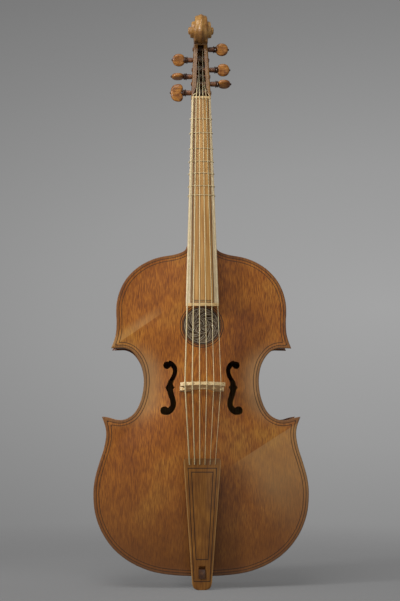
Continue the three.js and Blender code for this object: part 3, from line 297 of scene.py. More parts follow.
# Everything glued inside the box: blocks, linings, bass bar, sound post and its plate, and the
# two back braces. All of it is split spruce, left bare, cut with a knife and a plane.
SPRUCE_YEAR_MM = 1.6
bare_spruce, tree, place = new_material("bare_split_spruce")
look, years = figured(tree, place, SPRUCE_YEAR_MM, ((0.35, "B9935C"), (0.62, "DCC08F")), (1, 0.6, 0.03))
finish_with(bare_spruce, look, years, bump_mm=0.08, roughness=0.8)
INNER = ["neck_block", "bottom_block", "bass_bar", "sound_post", "soundpost_plate",
         "lower_back_brace", "upper_back_brace"]
for side_name in ("left", "right"):
    INNER += [f"{part}_{side_name}" for part in (
        "lower_corner_block", "upper_corner_block", "lower_lining", "waist_lining", "upper_lining")]
for name in INNER:
    for material_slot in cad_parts[name].material_slots:
        material_slot.material = bare_spruce

# Top plate. Bent and carved spruce staves, arched 20 mm, with fine vertical grain, two sound
# holes cut through, and a double line of purfling round the edge. The orange-brown oil varnish
# is worn thin at the waists, and a wedge of new wood is let in above the left upper corner.
ARCH, ARCH_MARGIN = 20 * MM, 15 * MM
ARCH_LOWER_SHARE, ARCH_WAIST_SHARE, ARCH_UPPER_SHARE = 0.82, 0.15, 0.2
GRID_MM = 3.2
ROSE_CENTRE, ROSE_RADIUS = BODY_FOOT + 516.5 * MM, 39 * MM
HOLE_CENTRE, HOLE_HEIGHT, HOLE_HALF = 64 * MM, BODY_FOOT + 387 * MM, 57 * MM
UPPER_EYE, LOWER_EYE = ((0.137, 0.837), 7.8 * MM), ((0.223, -0.811), 8.8 * MM)
HOLE_SHARES = ((0.072, 1.004), (-0.105, 0.937), (-0.216, 0.782), (-0.239, 0.628), (-0.195, 0.43),
               (-0.107, 0.253), (-0.079, 0.123), (-0.149, 0.032), (-0.089, -0.056), (-0.128, -0.254),
               (-0.184, -0.453), (-0.184, -0.651), (-0.107, -0.826), (0.025, -0.937),
               (0.175, -0.968), (0.19, -0.8), (0.025, -0.632), (0.025, -0.453), (0.091, -0.254),
               (0.147, -0.061), (0.202, 0.033), (0.137, 0.114), (0.104, 0.23), (-0.018, 0.428),
               (-0.072, 0.584), (-0.061, 0.693), (0, 0.789))
NICKS = (7, 20)

lower_side, waist_side, upper_side = bouts()
arch_side = [p for p in lower_side if p.y < between(BODY_FOOT, LOWER_TIP.y, ARCH_LOWER_SHARE)]
arch_side += [p for p in waist_side if p.x < between(WAIST_HALF, UPPER_TIP.x, ARCH_WAIST_SHARE)]
arch_side += [p for p in upper_side if p.y > between(UPPER_TIP.y, BODY_TOP, ARCH_UPPER_SHARE)]


def arch_half(z):
    """Half width of the arched part at a height. It passes by the corners."""
    for low, high in zip(arch_side, arch_side[1:]):
        if low.y <= z <= high.y:
            return between(low.x, high.x, (z - low.y) / (high.y - low.y)) - ARCH_MARGIN
    return 0


ARCH_STEPS = 228
ARCH_LEVELS = [arch_half(BODY_FOOT + BODY_LENGTH * i / ARCH_STEPS) for i in range(ARCH_STEPS + 1)]


def arch_at(x, z):
    """How far the arching stands before the edge of the plate."""
    level = min(max((z - BODY_FOOT) / BODY_LENGTH * ARCH_STEPS, 0), ARCH_STEPS - 0.001)
    half = between(*ARCH_LEVELS[int(level):int(level) + 2], level % 1)
    along = abs(z - BODY_FOOT - BODY_LENGTH / 2) / (BODY_LENGTH / 2 - ARCH_MARGIN)
    if half <= 0 or along >= 1 or abs(x) >= half:
        return 0
    return ARCH * (1 - (x / half) ** 2) ** 1.5 * (1 - along ** 4) ** 1.2


def blank(bm):
    """A shape as an object that modifiers can work on."""
    bmesh.ops.recalc_face_normals(bm, faces=bm.faces)
    return made_object("blank", bm)


def worked(blanks):
    """The shape that the first blank's modifiers make of it, without the blanks."""
    result = bmesh.new()
    result.from_mesh(blanks[0].evaluated_get(bpy.context.evaluated_depsgraph_get()).to_mesh())
    for obj in blanks:
        bpy.data.meshes.remove(obj.data)
    return result


def carved(bm, tools, operation="DIFFERENCE"):
    """A shape and its tools put together, by default with each tool cut from it."""
    blanks = [blank(shape) for shape in (bm, *tools)]
    for tool in blanks[1:]:
        cut = blanks[0].modifiers.new("cut", "BOOLEAN")
        cut.operation, cut.solver, cut.object = operation, "MANIFOLD", tool
    return worked(blanks)


def through(points, front=-60 * MM, back=20 * MM):
    """A tool that cuts an outline of (x, z) points straight through from the front."""
    tool = bmesh.new()
    loft(tool, [[(x, y, z) for x, z in points] for y in (front, back)])
    return tool


def round_turns(count):
    return [2 * math.pi * i / count for i in range(count)]


def disc(x, z, radius, sides=32):
    return [(x + radius * math.cos(a), z + radius * math.sin(a)) for a in round_turns(sides)]


GRID_MARGIN, WALL_REACH = 4 * MM, 100 * MM
bm = bmesh.new()
columns, rows = (round(size / (GRID_MM * MM)) for size in (2 * LOWER_HALF, BODY_LENGTH))
bmesh.ops.create_grid(bm, x_segments=columns, y_segments=rows, size=1, matrix=(
    Matrix.Translation((0, 0, BODY_FOOT + BODY_LENGTH / 2))
    @ Matrix.Rotation(math.pi / 2, 4, "X")
    @ Matrix.Diagonal((LOWER_HALF + GRID_MARGIN, BODY_LENGTH / 2 + GRID_MARGIN, 1, 1))))
for v in bm.verts:
    v.co.y = -PLATE - arch_at(v.co.x, v.co.z)
inside = bmesh.ops.extrude_face_region(bm, geom=bm.faces[:])
inside_verts = [v for v in inside["geom"] if isinstance(v, bmesh.types.BMVert)]
bmesh.ops.translate(bm, vec=(0, PLATE, 0), verts=inside_verts)

# The rim's tool reaches from behind the plate to before its arching: y and inset, in mm.
RIM_MM = ((6, 1.2), *((-depth, inset) for depth, inset in EDGE_ROUNDING), (-40, 1.2))
rim = bmesh.new()
loft(rim, [[(p.x, y_mm * MM, p.y) for p in outline(inset_mm * MM)] for y_mm, inset_mm in RIM_MM])
bm = carved(bm, [rim], "INTERSECT")

tools = [through(disc(0, ROSE_CENTRE, ROSE_RADIUS, 72))]
for side in (-1, 1):
    stem = []
    for start, end in ((NICKS[0], NICKS[1]), (NICKS[1], NICKS[0] + len(HOLE_SHARES))):
        run = [HOLE_SHARES[i % len(HOLE_SHARES)] for i in range(start, end + 1)]
        stem += fair_curve(run, 4)[:-1]
    tools.append(through([(side * (HOLE_CENTRE + HOLE_HALF * p.x), HOLE_HEIGHT + HOLE_HALF * p.y)
                          for p in stem]))
    for (x, z), radius in (UPPER_EYE, LOWER_EYE):
        tools.append(through(disc(side * (HOLE_CENTRE + HOLE_HALF * x), HOLE_HEIGHT + HOLE_HALF * z, radius)))
bm = carved(bm, tools)

# Each point keeps its distance from an upright wall on the outline, for the tones near the edge.
wall = bmesh.new()
loft(wall, [[(p.x, y, p.y) for p in outline()] for y in (-WALL_REACH, WALL_REACH)], caps=False)
edge_wall = BVHTree.FromBMesh(wall)
wall.free()
from_edge = bm.verts.layers.float.new("from_edge_mm")
for v in bm.verts:
    v[from_edge] = edge_wall.find_nearest((v.co.x, 0, v.co.z))[3] / MM


def tinted(tree, look, code, share, *runs, **settings):
    """A look that takes on a share of a tone as each (measure, start, end) runs to its end."""
    amount = share
    for measure, start, end in runs:
        run = add(tree, "MapRange", {"Value": measure, "From Min": start, "From Max": end}, **settings)
        amount = add(tree, "Math", {0: amount, 1: run}, operation="MULTIPLY")
    return add(tree, "Mix", {"Factor": amount, "A": look, "B": colour(code)}, data_type="RGBA")


def inlaid(tree, look, code, share, measure_mm, line_mm, half_mm, ease_mm=0.2):
    """A look with a line of another tone let in where a measure reaches a distance, in mm."""
    off = add(tree, "Math", {0: measure_mm, 1: line_mm}, operation="SUBTRACT")
    off = add(tree, "Math", {0: off}, operation="ABSOLUTE")
    return tinted(tree, look, code, share, (off, half_mm + ease_mm, half_mm - ease_mm))


def distance(tree, place, centre, weights):
    """How far a place lies from a centre, with each axis weighted."""
    away = add(tree, "VectorMath", {0: place, 1: centre}, operation="SUBTRACT")
    away = add(tree, "VectorMath", {0: away, 1: weights}, operation="MULTIPLY")
    return add(tree, "VectorMath", {0: away}, operation="LENGTH").outputs["Value"]


# Spruce under an orange-brown oil varnish. The dark lines of late wood stand about 1.5 mm
# apart, which is too fine to show, so most are drawn 2.4 mm apart, and some finer but softer.
STREAK_MM, FINE_MM, FIGURE_MM, CLOUD_MM = 2.4, 1.3, 12, 120
varnished_spruce, tree, place = new_material("oil_varnished_spruce")
look = figured(tree, place, CLOUD_MM, (
    (0.34, "965610"), (0.47, "A86516"), (0.56, "B26F20"), (0.68, "BE822E")), detail=2.5)[0]
look = figured(tree, place, STREAK_MM, ((0.34, "E0D2BE"), (0.6, "FFFFFF")), (1, 0.3, 0.12), look, 0.8,
               detail=3.0, roughness=0.6, distortion=0.25)[0]
look, fine = figured(tree, place, FINE_MM, ((0.36, "B4A08A"), (0.62, "FFFFFF")), (1, 0.3, 0.09), look, 0.95)
look = figured(tree, place, FIGURE_MM, ((0.35, "E2D4C4"), (0.62, "FFFFFF")), (1, 0.3, 0.45), look, 0.55,
               turn=12)[0]

# Varnish worn thin at the waists, painted shade that darkens the plate towards the bottom, and dark along the
# edge
WORN_HEIGHT, WORN_WIDTH_MM = (105 * MM, 31.5 * MM), (52, 8)
FOOT_SHADE_HEIGHT, EDGE_BAND_MM = 390 * MM, (7.5, 2.5)
height = add(tree, "SeparateXYZ", {"Vector": place}).outputs["Z"]
edge_mm = add(tree, "Attribute", attribute_name="from_edge_mm").outputs["Fac"]
from_waist = add(tree, "Math", {0: height, 1: WAIST_HEIGHT}, operation="SUBTRACT")
from_waist = add(tree, "Math", {0: from_waist}, operation="ABSOLUTE")
look = tinted(tree, look, "A88355", 0.6, (from_waist, *WORN_HEIGHT), (edge_mm, *WORN_WIDTH_MM),
              interpolation_type="SMOOTHSTEP")
# Painted shade: darker towards the bottom, where the light from above falls off
look = tinted(tree, look, "5E3A1A", 0.7, (height, FOOT_SHADE_HEIGHT, 0.0), interpolation_type="SMOOTHSTEP")
look = tinted(tree, look, "5A3E26", 0.5, (edge_mm, *EDGE_BAND_MM))

# The wedge above the left upper corner and the joint under the right lower corner: each is a
# turned frame whose X runs along the joint. Corner, turn in degrees, length and width, in mm.
JOINTS_MM = (((-171.0, 507.0), 34.0, 118, 22, "C89C60", 0.28),
             ((181.0, 328.5), 212.0, 150, 210, "B08C58", 0.36))
JOINT_START_MM, JOINT_EDGE_MM = (-70, -20), (0, 1.2)
for corner, turn, length_mm, width_mm, code, share in JOINTS_MM:
    joint = add(tree, "Mapping", {"Vector": place, "Location": (-corner[0] * MM, 0, -corner[1] * MM)})
    joint = add(tree, "Mapping", {"Vector": joint, "Rotation": (0, math.radians(turn), 0)})
    joint = add(tree, "SeparateXYZ", {"Vector": joint})
    runs = (("Z", *JOINT_EDGE_MM), ("Z", width_mm, 0.4 * width_mm),
            ("X", length_mm, 0.6 * length_mm), ("X", *JOINT_START_MM))
    look = tinted(tree, look, code, share, *(
        (joint.outputs[axis], start * MM, end * MM) for axis, start, end in runs))

# Purfling along the edge and round the rose, two dark lines each
PURFLING_MM, PURFLING_HALF_MM, RING_MM, RING_HALF_MM = (6.0, 11.5), 0.8, (40.6, 44.6), 1.1
rose_mm = distance(tree, place, (0, 0, ROSE_CENTRE), (1 / MM, 0, 1 / MM))
for measure_mm, lines_mm, half_mm in (
        (edge_mm, PURFLING_MM, PURFLING_HALF_MM), (rose_mm, RING_MM, RING_HALF_MM)):
    for line_mm in lines_mm:
        look = inlaid(tree, look, "2E1C0E", 0.85, measure_mm, line_mm, half_mm, ease_mm=0.15)
finish_with(varnished_spruce, look, fine, bump_mm=0.05, roughness=0.5, specular_ior_level=0.3,
            coat_weight=0.12, coat_roughness=0.3)
finished("top_plate_arched", bm, varnished_spruce, replaces=["top_plate"], crease=40)

# Rosette. A thin disc of wood and parchment, pierced and carved with a traditional swirling
# rose, is glued a millimetre below the face of the top plate. It has gone grey-brown with age.
ROSE_THICKNESS, ROSE_SETBACK, ROSE_PLAY, RAISED = 3 * MM, 1 * MM, 0.1 * MM, 0.8 * MM
RIM_SHADOW_MM = (3.5, 1.5)
rose_y = -PLATE - arch_at(ROSE_RADIUS, ROSE_CENTRE) + ROSE_SETBACK
# Rings of pierced leaves: count, inner and outer radius, half width, sweep in degrees
LEAVES_MM = ((6, 4, 14, 1.9, 64), (9, 17.5, 30, 3.3, -52))
# Round holes near the edge: count, distance from the middle, radius
ROUND_HOLES_MM = (18, 32.6, 1.3)
# Raised rings: their radii, and their section as (radius, y)
RAISED_RINGS_MM = (16, 35)
RING_SECTION_MM = ((-0.7, 0.3), (-0.5, -0.5), (0, -0.8), (0.5, -0.5), (0.7, 0.3))
# Raised leaves between them: count, start in degrees, inner and outer radius, half width, sweep
RIBS_MM = ((6, 20, 3, 15, 1.1, 64), (6, 42, 3, 15, 1.1, 64), (9, 13, 17, 33.5, 1.3, -52),
           (9, 27, 17, 33.5, 1.3, -52), (24, 7, 29, 34, 0.7, 10))
# Each raised leaf narrows to its ridge: share of its width, and y from the face of the disc
RIDGE_MM = ((1, 0.3), (1, 0), (0.35, -0.9))


def turned(bm, profile, steps, centre=(0, 0, 0), axis=(1, 0, 0), across=(0, 0, 1)):
    """Turns a profile of (radius, along) points about an axis, as on a lathe."""
    axis, across = Vector(axis), Vector(across)
    verts = [bm.verts.new(Vector(centre) + axis * along + across * radius) for radius, along in profile]
    edges = [bm.edges.new(pair) for pair in zip(verts, verts[1:])]
    if profile[0][0] and profile[-1][0]:
        edges.append(bm.edges.new((verts[-1], verts[0])))
    bmesh.ops.spin(bm, geom=[*verts, *edges], cent=centre, axis=axis, dvec=(0, 0, 0),
                   angle=2 * math.pi, steps=steps, use_merge=True)
    poles = [v for v in bm.verts if v.is_valid and (v.co - Vector(centre)).cross(axis).length < WELD]
    bmesh.ops.remove_doubles(bm, verts=poles, dist=WELD)


def in_mm(profile, radius=0, along=0):
    """A profile given in mm, set off by a radius and along its axis."""
    return [(radius + r * MM, along + a * MM) for r, a in profile]


def leaf(angle, inner, outer, half, sweep):
    """A pointed leaf that swirls outward from one radius to another."""
    shape = [(share, math.sin(math.pi * share) ** 0.8) for share in (k / 10 for k in range(11))]
    shape += [(share, -width) for share, width in reversed(shape[1:-1])]
    points = []
    for share, width in shape:
        turn = angle + math.radians(sweep) * share
        way = Vector((math.cos(turn), math.sin(turn)))
        points.append(way * between(inner, outer, share) + Vector((-way.y, way.x)) * half * width)
    return points


bm = bmesh.new()
loft(bm, [[(x, y, z) for x, z in disc(0, ROSE_CENTRE, ROSE_RADIUS - ROSE_PLAY, 72)]
          for y in (rose_y, rose_y + ROSE_THICKNESS)])
tools = []
for count, inner, outer, half, sweep in LEAVES_MM:
    for angle in round_turns(count):
        shape = leaf(angle, inner * MM, outer * MM, half * MM, sweep)
        tools.append(through([(p.x, ROSE_CENTRE + p.y) for p in shape]))
count, reach, radius = ROUND_HOLES_MM
for angle in round_turns(count):
    angle += math.pi / count
    tools.append(through(disc(reach * MM * math.cos(angle), ROSE_CENTRE + reach * MM * math.sin(angle),
                              radius * MM, 10)))
bm = carved(bm, tools)
for ring_mm in RAISED_RINGS_MM:
    turned(bm, in_mm(RING_SECTION_MM, ring_mm * MM), 72,
           centre=(0, rose_y, ROSE_CENTRE), axis=(0, 1, 0), across=(1, 0, 0))
for count, start, inner, outer, half, sweep in RIBS_MM:
    for angle in round_turns(count):
        loft(bm, [[(p.x, rose_y + y * MM, ROSE_CENTRE + p.y) for p in leaf(
            angle + math.radians(start), inner * MM, outer * MM, half * MM * share, sweep)]
            for share, y in RIDGE_MM])

# Parchment and pearwood gone grey. Painted shade darkens its cuts, a painted highlight makes the ridges pale,
# and a painted shadow darkens its rim
carved_parchment, tree, place = new_material("aged_carved_parchment")
look, cuts = figured(tree, place, 8, ((0.35, "473824"), (0.5, "5C4B34"), (0.68, "735F46")), detail=3.0)
# Painted shade in the hollows of the carving, by how pointed the surface is
painted_hollow_shade = add(tree, "ValToRGB", {"Fac": add(tree, "NewGeometry").outputs["Pointiness"]}, stops=(
    (0.44, "8A7C6C"), (0.56, "FFFFFF")))
look = add(tree, "Mix", {"Factor": 0.8, "A": look, "B": painted_hollow_shade}, data_type="RGBA", blend_type="MULTIPLY")
depth = add(tree, "SeparateXYZ", {"Vector": place}).outputs["Y"]
rose_mm = distance(tree, place, (0, 0, ROSE_CENTRE), (1 / MM, 0, 1 / MM))
# Painted highlight: the raised leaves and rings turn pale towards their fronts
look = tinted(tree, look, "B9A98E", 0.75, (depth, rose_y, rose_y - RAISED))
# Painted shadow: a dark ring round the edge of the disc, where it sits below the plate
look = tinted(tree, look, "241A10", 0.85, (rose_mm, *(ROSE_RADIUS / MM - inset for inset in RIM_SHADOW_MM)))
finish_with(carved_parchment, look, cuts, bump_mm=0.2, roughness=0.75)
finished("rosette_carved", bm, carved_parchment, replaces=["rosette"], crease=50)

# Neck, pegbox and scroll, carved from one block of maple. The back of the neck is round, its
# heel deepens to the back plate, and two flutes run up the back of the pegbox and on round the
# scroll. The string slot is open to the front, and six holes are reamed through its cheeks.
NUT_HEIGHT, NUT_LENGTH, BOARD_END = 1024.8 * MM, 5.6 * MM, 580.4 * MM
BOARD_END_HALF, BOARD_NUT_HALF = 34.1 * MM, 20.4 * MM
BOARD_END_Y, BOARD_NUT_Y, CROWN_RADIUS = -60.5 * MM, 7 * MM, 80 * MM
NECK_Y_AT_BODY, NECK_Y_AT_NUT = -23.98 * MM, 12 * MM
NECK_DEPTH_AT_HEEL, NECK_DEPTH_AT_NUT, NECK_INSET = 25 * MM, 21 * MM, 0.5 * MM
HEEL_FOOT, HEEL_RUN, HEEL_BACK = BODY_TOP + 0.1 * MM, 60 * MM, RIB_DEPTH_AT_NECK + PLATE
BOX_FOOT, BOX_LENGTH, CHIN = NUT_HEIGHT + NUT_LENGTH + 0.3 * MM, 120.3 * MM, 20 * MM
BOX_TOP = BOX_FOOT + BOX_LENGTH
BOX_HALF = (20.8 * MM, 14.6 * MM)
BOX_DEPTH = (34.5 * MM, 27 * MM)
BOX_FRONT = (9.5 * MM, 32.99 * MM)
SLOT_HALF, SLOT_MOUTH_HALF, SLOT_FLARE, SLOT_TOP = (11.6 * MM, 6.4 * MM), 17.8 * MM, 20 * MM, BOX_TOP - 4 * MM
PEG_DEPTH, PEG_RADIUS, PEG_TIP_RADIUS, PEG_PLAY = 13 * MM, 4.8 * MM, 4.1 * MM, 0.35 * MM
SLOT_BACK, PEG_COLLAR_OUT = PEG_DEPTH + 9.25 * MM, 11.5 * MM
PEG_HEIGHTS = [BOX_FOOT + BOX_LENGTH * share for share in (0.0798, 0.3849, 0.6966, 0.9002, 0.5137, 0.2485)]
# Turns from the bottom of the scroll, its radius and its half width, in mm
SCROLL_TURNS = ((0.1, 36.5, 13.6), (0.35, 36.5, 12.8), (0.6, 31.5, 13.4), (0.85, 27, 14.6), (1.1, 24, 17.5),
                (1.35, 22, 19.5), (1.6, 20, 21.5), (1.85, 17.5, 22.5), (2, 15, 23.5))
SCROLL_RADIUS = SCROLL_TURNS[0][1] * MM
SCROLL_Y = BOX_FRONT[1] + BOX_DEPTH[1] - SCROLL_RADIUS
SCROLL_Z = BOX_TOP + 23.5 * MM
SCROLL_CROWN, FLUTE_DEPTH, THROAT_HALF = 5.5 * MM, 1.9 * MM, 12.8 * MM
# The scroll's eye, as (radius, distance to one side)
EYE_MM = ((0, -27.3), (4.8, -27.3), (8, -25.8), (8, 25.8), (4.8, 27.3), (0, 27.3))
BAND_START, BAND_THICKNESS, BAND_LAP, EYE_CORE = BOX_FOOT - 2 * MM, 4.5 * MM, 1.5 * MM, 2 * MM
BOX_EASE, CHIN_SLIM, BOX_STEP, THROAT_WALL = 1.2 * MM, 2 * MM, 0.1 * MM, 4 * MM
SLOT_START, IN_FRONT_OF_BOX, BORE_REACH = BOX_FOOT + 0.2 * MM, -30 * MM, 8 * MM
NECK_VOXEL, PEGBOX_SHADE_RUN = 1.0 * MM, 15 * MM


def along_board(z, at_end, at_nut):
    return between(at_end, at_nut, (z - BOARD_END) / (NUT_HEIGHT - BOARD_END))


def along_box(z, pair):
    return between(*pair, (z - BOX_FOOT) / BOX_LENGTH)


def board_half(z):
    return along_board(z, BOARD_END_HALF, BOARD_NUT_HALF)


def neck_face(z):
    return between(NECK_Y_AT_BODY, NECK_Y_AT_NUT, (z - BODY_TOP) / (NUT_HEIGHT - BODY_TOP))


def neck_section(z, steps=24):
    """The rounded back of the neck at a height, from side to side."""
    swell = max(0, 1 - (z - HEEL_FOOT) / HEEL_RUN) ** 2.4 if z < HEEL_FOOT + HEEL_RUN else 0
    half = board_half(z) - NECK_INSET
    slim = between(NECK_DEPTH_AT_HEEL, NECK_DEPTH_AT_NUT, (z - BODY_TOP) / (NUT_HEIGHT - BODY_TOP))
    depth = between(slim, HEEL_BACK - neck_face(z), swell)
    power = 2 / (2 + swell)
    section = []
    for i in range(steps + 1):
        turn = math.pi * i / steps
        x = math.copysign(abs(math.cos(turn)) ** power, math.cos(turn)) * half
        section.append((x, neck_face(z) + depth * max(0, math.sin(turn)) ** power, z))
    return section


def scroll_at(turns):
    """The scroll's radius and half width after some turns from its bottom."""
    before, after = next(pair for pair in zip(SCROLL_TURNS, SCROLL_TURNS[1:]) if turns <= pair[1][0] + 1e-6)
    share = (turns - before[0]) / (after[0] - before[0])
    return between(before[1], after[1], share) * MM, between(before[2], after[2], share) * MM


def one_skin(bm, voxel):
    """One skin round shapes that run into each other, as carved from one block."""
    block = blank(bm)
    skin = block.modifiers.new("skin", "REMESH")
    skin.mode, skin.voxel_size = "VOXEL", voxel
    soften = block.modifiers.new("soften", "SMOOTH")
    soften.factor, soften.iterations = 0.5, 5
    return worked([block])


bm = bmesh.new()
levels = [HEEL_FOOT + HEEL_RUN * (i / 16) ** 1.5 for i in range(17)]
levels += [between(levels[-1], BOX_FOOT, i / 8) for i in range(1, 9)]
loft(bm, [neck_section(z) for z in levels])

# The chin below the pegbox and the box itself, each level with its front and its back
box_rings = []
chin_face, box_back = neck_face(BOX_FOOT - CHIN), BOX_FRONT[0] + BOX_DEPTH[0]
for z, front, back in (
        (BOX_FOOT - CHIN, chin_face, chin_face + NECK_DEPTH_AT_NUT - CHIN_SLIM),
        (BOX_FOOT - 0.6 * CHIN, neck_face(BOX_FOOT - 0.6 * CHIN), BOX_FRONT[0] + 0.84 * BOX_DEPTH[0]),
        (BOX_FOOT - 0.25 * CHIN, neck_face(BOX_FOOT), box_back),
        (BOX_FOOT - BOX_STEP, neck_face(BOX_FOOT), box_back),
        (BOX_FOOT, BOX_FRONT[0], box_back),
        (BOX_TOP, BOX_FRONT[1], BOX_FRONT[1] + BOX_DEPTH[1])):
    half = along_box(max(z, BOX_FOOT), BOX_HALF)
    right = ((half - BOX_EASE, front), (half, front + BOX_EASE), (half, back - 2 * BOX_EASE),
             (half - 2 * BOX_EASE, back))
    box_rings.append([(x, y, z) for x, y in (*right, *((-x, y) for x, y in reversed(right)))])
loft(bm, box_rings)

# The fluted band climbs the back of the pegbox and winds in two turns to the eye. Each step is
# its centre, the way outward, half width, thickness, and how far its flutes have set in.
CLIMB_STEPS, WIND_STEPS, BAND_POINTS = 14, 57, 25
band = []
for i in range(CLIMB_STEPS):
    z = between(BAND_START, SCROLL_Z, i / CLIMB_STEPS)
    level = min(z, BOX_TOP)
    y = along_box(level, BOX_FRONT) + along_box(level, BOX_DEPTH)
    half = along_box(level, BOX_HALF) * between(1, 0.86, i / CLIMB_STEPS)
    band.append((Vector((0, y, z)), Vector((0, 1, 0)), half, BAND_THICKNESS, min(1, i / 6)))
for i in range(WIND_STEPS):
    wound = (SCROLL_TURNS[-1][0] - SCROLL_TURNS[0][0]) * i / (WIND_STEPS - 1)
    turns = SCROLL_TURNS[0][0] + wound
    radius, half = scroll_at(turns)
    inner = scroll_at(turns + 1)[0] if turns < 1 else EYE_CORE
    way = Vector((0, math.cos(2 * math.pi * wound), math.sin(2 * math.pi * wound)))
    band.append((Vector((0, SCROLL_Y, SCROLL_Z)) + way * radius, way, half, radius - inner + BAND_LAP,
                 1 if turns < 1.1 else 0.4))
band_rings = []
for centre, way, half, thickness, rise in band:
    ring = []
    for aside in (-1 + 2 * j / (BAND_POINTS - 1) for j in range(BAND_POINTS)):
        groove = FLUTE_DEPTH * rise * (math.sin(math.pi * abs(aside) ** 0.95) ** 2)
        groove += SCROLL_CROWN * rise * abs(aside) ** 2.5 if centre.z > BOX_TOP else 0
        ring.append(centre + Vector((half * aside, 0, 0)) - way * groove)
    ring += [centre + Vector((x, 0, 0)) - way * thickness for x in (half, -half)]
    band_rings.append(ring)
loft(bm, band_rings)
throat_back = SCROLL_Y + SCROLL_RADIUS - THROAT_WALL
throat = [(along_box(SLOT_TOP, BOX_FRONT), SLOT_TOP), (throat_back, SLOT_TOP), (throat_back, SCROLL_Z),
          (SCROLL_Y, SCROLL_Z)]
loft(bm, [[(x, y, z) for y, z in throat] for x in (-THROAT_HALF, THROAT_HALF)])
turned(bm, in_mm(EYE_MM), 24, centre=(0, SCROLL_Y, SCROLL_Z), across=(0, 1, 0))
bm = one_skin(bm, NECK_VOXEL)

slot_tool = bmesh.new()
slot_rings = []
flare_end = BOX_FOOT + SLOT_FLARE
for z, half in ((SLOT_START, SLOT_MOUTH_HALF), (flare_end, along_box(flare_end, SLOT_HALF)),
                (SLOT_TOP, along_box(SLOT_TOP, SLOT_HALF))):
    back = along_box(z, BOX_FRONT) + SLOT_BACK
    slot_rings.append([(x, y, z) for x, y in (
        (half, IN_FRONT_OF_BOX), (half, back), (-half, back), (-half, IN_FRONT_OF_BOX))])
loft(slot_tool, slot_rings)
tools = [slot_tool]
for i, z in enumerate(PEG_HEIGHTS):
    tip, wide = -along_box(z, BOX_HALF) - BORE_REACH, along_box(z, BOX_HALF) + PEG_COLLAR_OUT
    bore = bmesh.new()
    turned(bore, [(0, tip), (PEG_TIP_RADIUS + PEG_PLAY, tip), (PEG_RADIUS + PEG_PLAY, wide), (0, wide)], 24,
           centre=(0, along_box(z, BOX_FRONT) + PEG_DEPTH, z), axis=(-1 if i < 3 else 1, 0, 0))
    tools.append(bore)
bm = carved(bm, tools)

# Painted shade darkens the pegbox, standing in for the shade in its slot and on its cheeks
tree = maple["neck"].node_tree
height = add(tree, "SeparateXYZ", {"Vector": add(tree, "TexCoord").outputs["Object"]}).outputs["Z"]
varnished = tree.nodes["Principled BSDF"].inputs["Base Color"].links[0].from_socket
finish_with(maple["neck"], tinted(tree, varnished, "5A3C1C", 0.6, (height, BOX_FOOT, BOX_FOOT + PEGBOX_SHADE_RUN),
                                  (height, BOX_TOP + PEGBOX_SHADE_RUN, BOX_TOP)))
finished("neck_pegbox_and_scroll", bm, maple["neck"], replaces=["neck"], crease=40)

# Fingerboard. A long crowned board of tan hardwood on a light core, glued to the neck and free
# over the belly, with edges of white bone, a boxwood end strip, and two dark inlaid lines that
# run round just inside them.
STRIP, STRIP_AT_END, STRIP_AT_NUT, END_STRIP = 1.6 * MM, 9 * MM, 4 * MM, 6 * MM
BOARD_END_THICKNESS, JOINT, GLUE_FILM = 13 * MM, 0.05 * MM, 0.15 * MM
TOOL_REACH, TOOL_DEPTH = 60 * MM, (-90 * MM, 60 * MM)


def crown(x):
    return CROWN_RADIUS - math.sqrt(CROWN_RADIUS ** 2 - x ** 2)


def board_line(z, steps=24):
    half, top = board_half(z), along_board(z, BOARD_END_Y, BOARD_NUT_Y)
    return [(x, top + crown(x), z) for x in (half * (2 * i / steps - 1) for i in range(steps + 1))]


def board_back(z):
    if z >= BODY_TOP:
        return neck_face(z) - GLUE_FILM
    share = (BODY_TOP - z) / (BODY_TOP - BOARD_END)
    return between(neck_face(BODY_TOP) - GLUE_FILM, BOARD_END_Y + BOARD_END_THICKNESS, share)


def whole_board(sunk=0.0):
    board = bmesh.new()
    loft(board, [[(x, y + sunk, z) for x, y, z in (
        *board_line(z), (board_half(z), board_back(z), z), (-board_half(z), board_back(z), z))]
        for z in (BOARD_END, BODY_TOP, NUT_HEIGHT - JOINT)])
    return board


def edge_tool(side, low, ease):
    high = NUT_HEIGHT + TOOL_REACH
    inner = [(side * (board_half(z) - along_board(z, STRIP_AT_END, STRIP_AT_NUT) - ease), z)
             for z in (low, high)]
    return through([inner[0], (side * TOOL_REACH, low), (side * TOOL_REACH, high), inner[1]], *TOOL_DEPTH)


def rectangle(half, low, high):
    return [(-half, low), (half, low), (half, high), (-half, high)]


def end_tool(top):
    return through(rectangle(TOOL_REACH, BOARD_END - TOOL_REACH, top), *TOOL_DEPTH)


STRIP_FOOT, EDGE_FOOT = BOARD_END + END_STRIP, BOARD_END - 20 * MM
rebates = []
for tool in (edge_tool(-1, EDGE_FOOT, JOINT), edge_tool(1, EDGE_FOOT, JOINT), end_tool(STRIP_FOOT)):
    rebates.append(carved(carved(whole_board(-JOINT), [whole_board(STRIP + JOINT)]), [tool], "INTERSECT"))
board = carved(whole_board(), rebates)

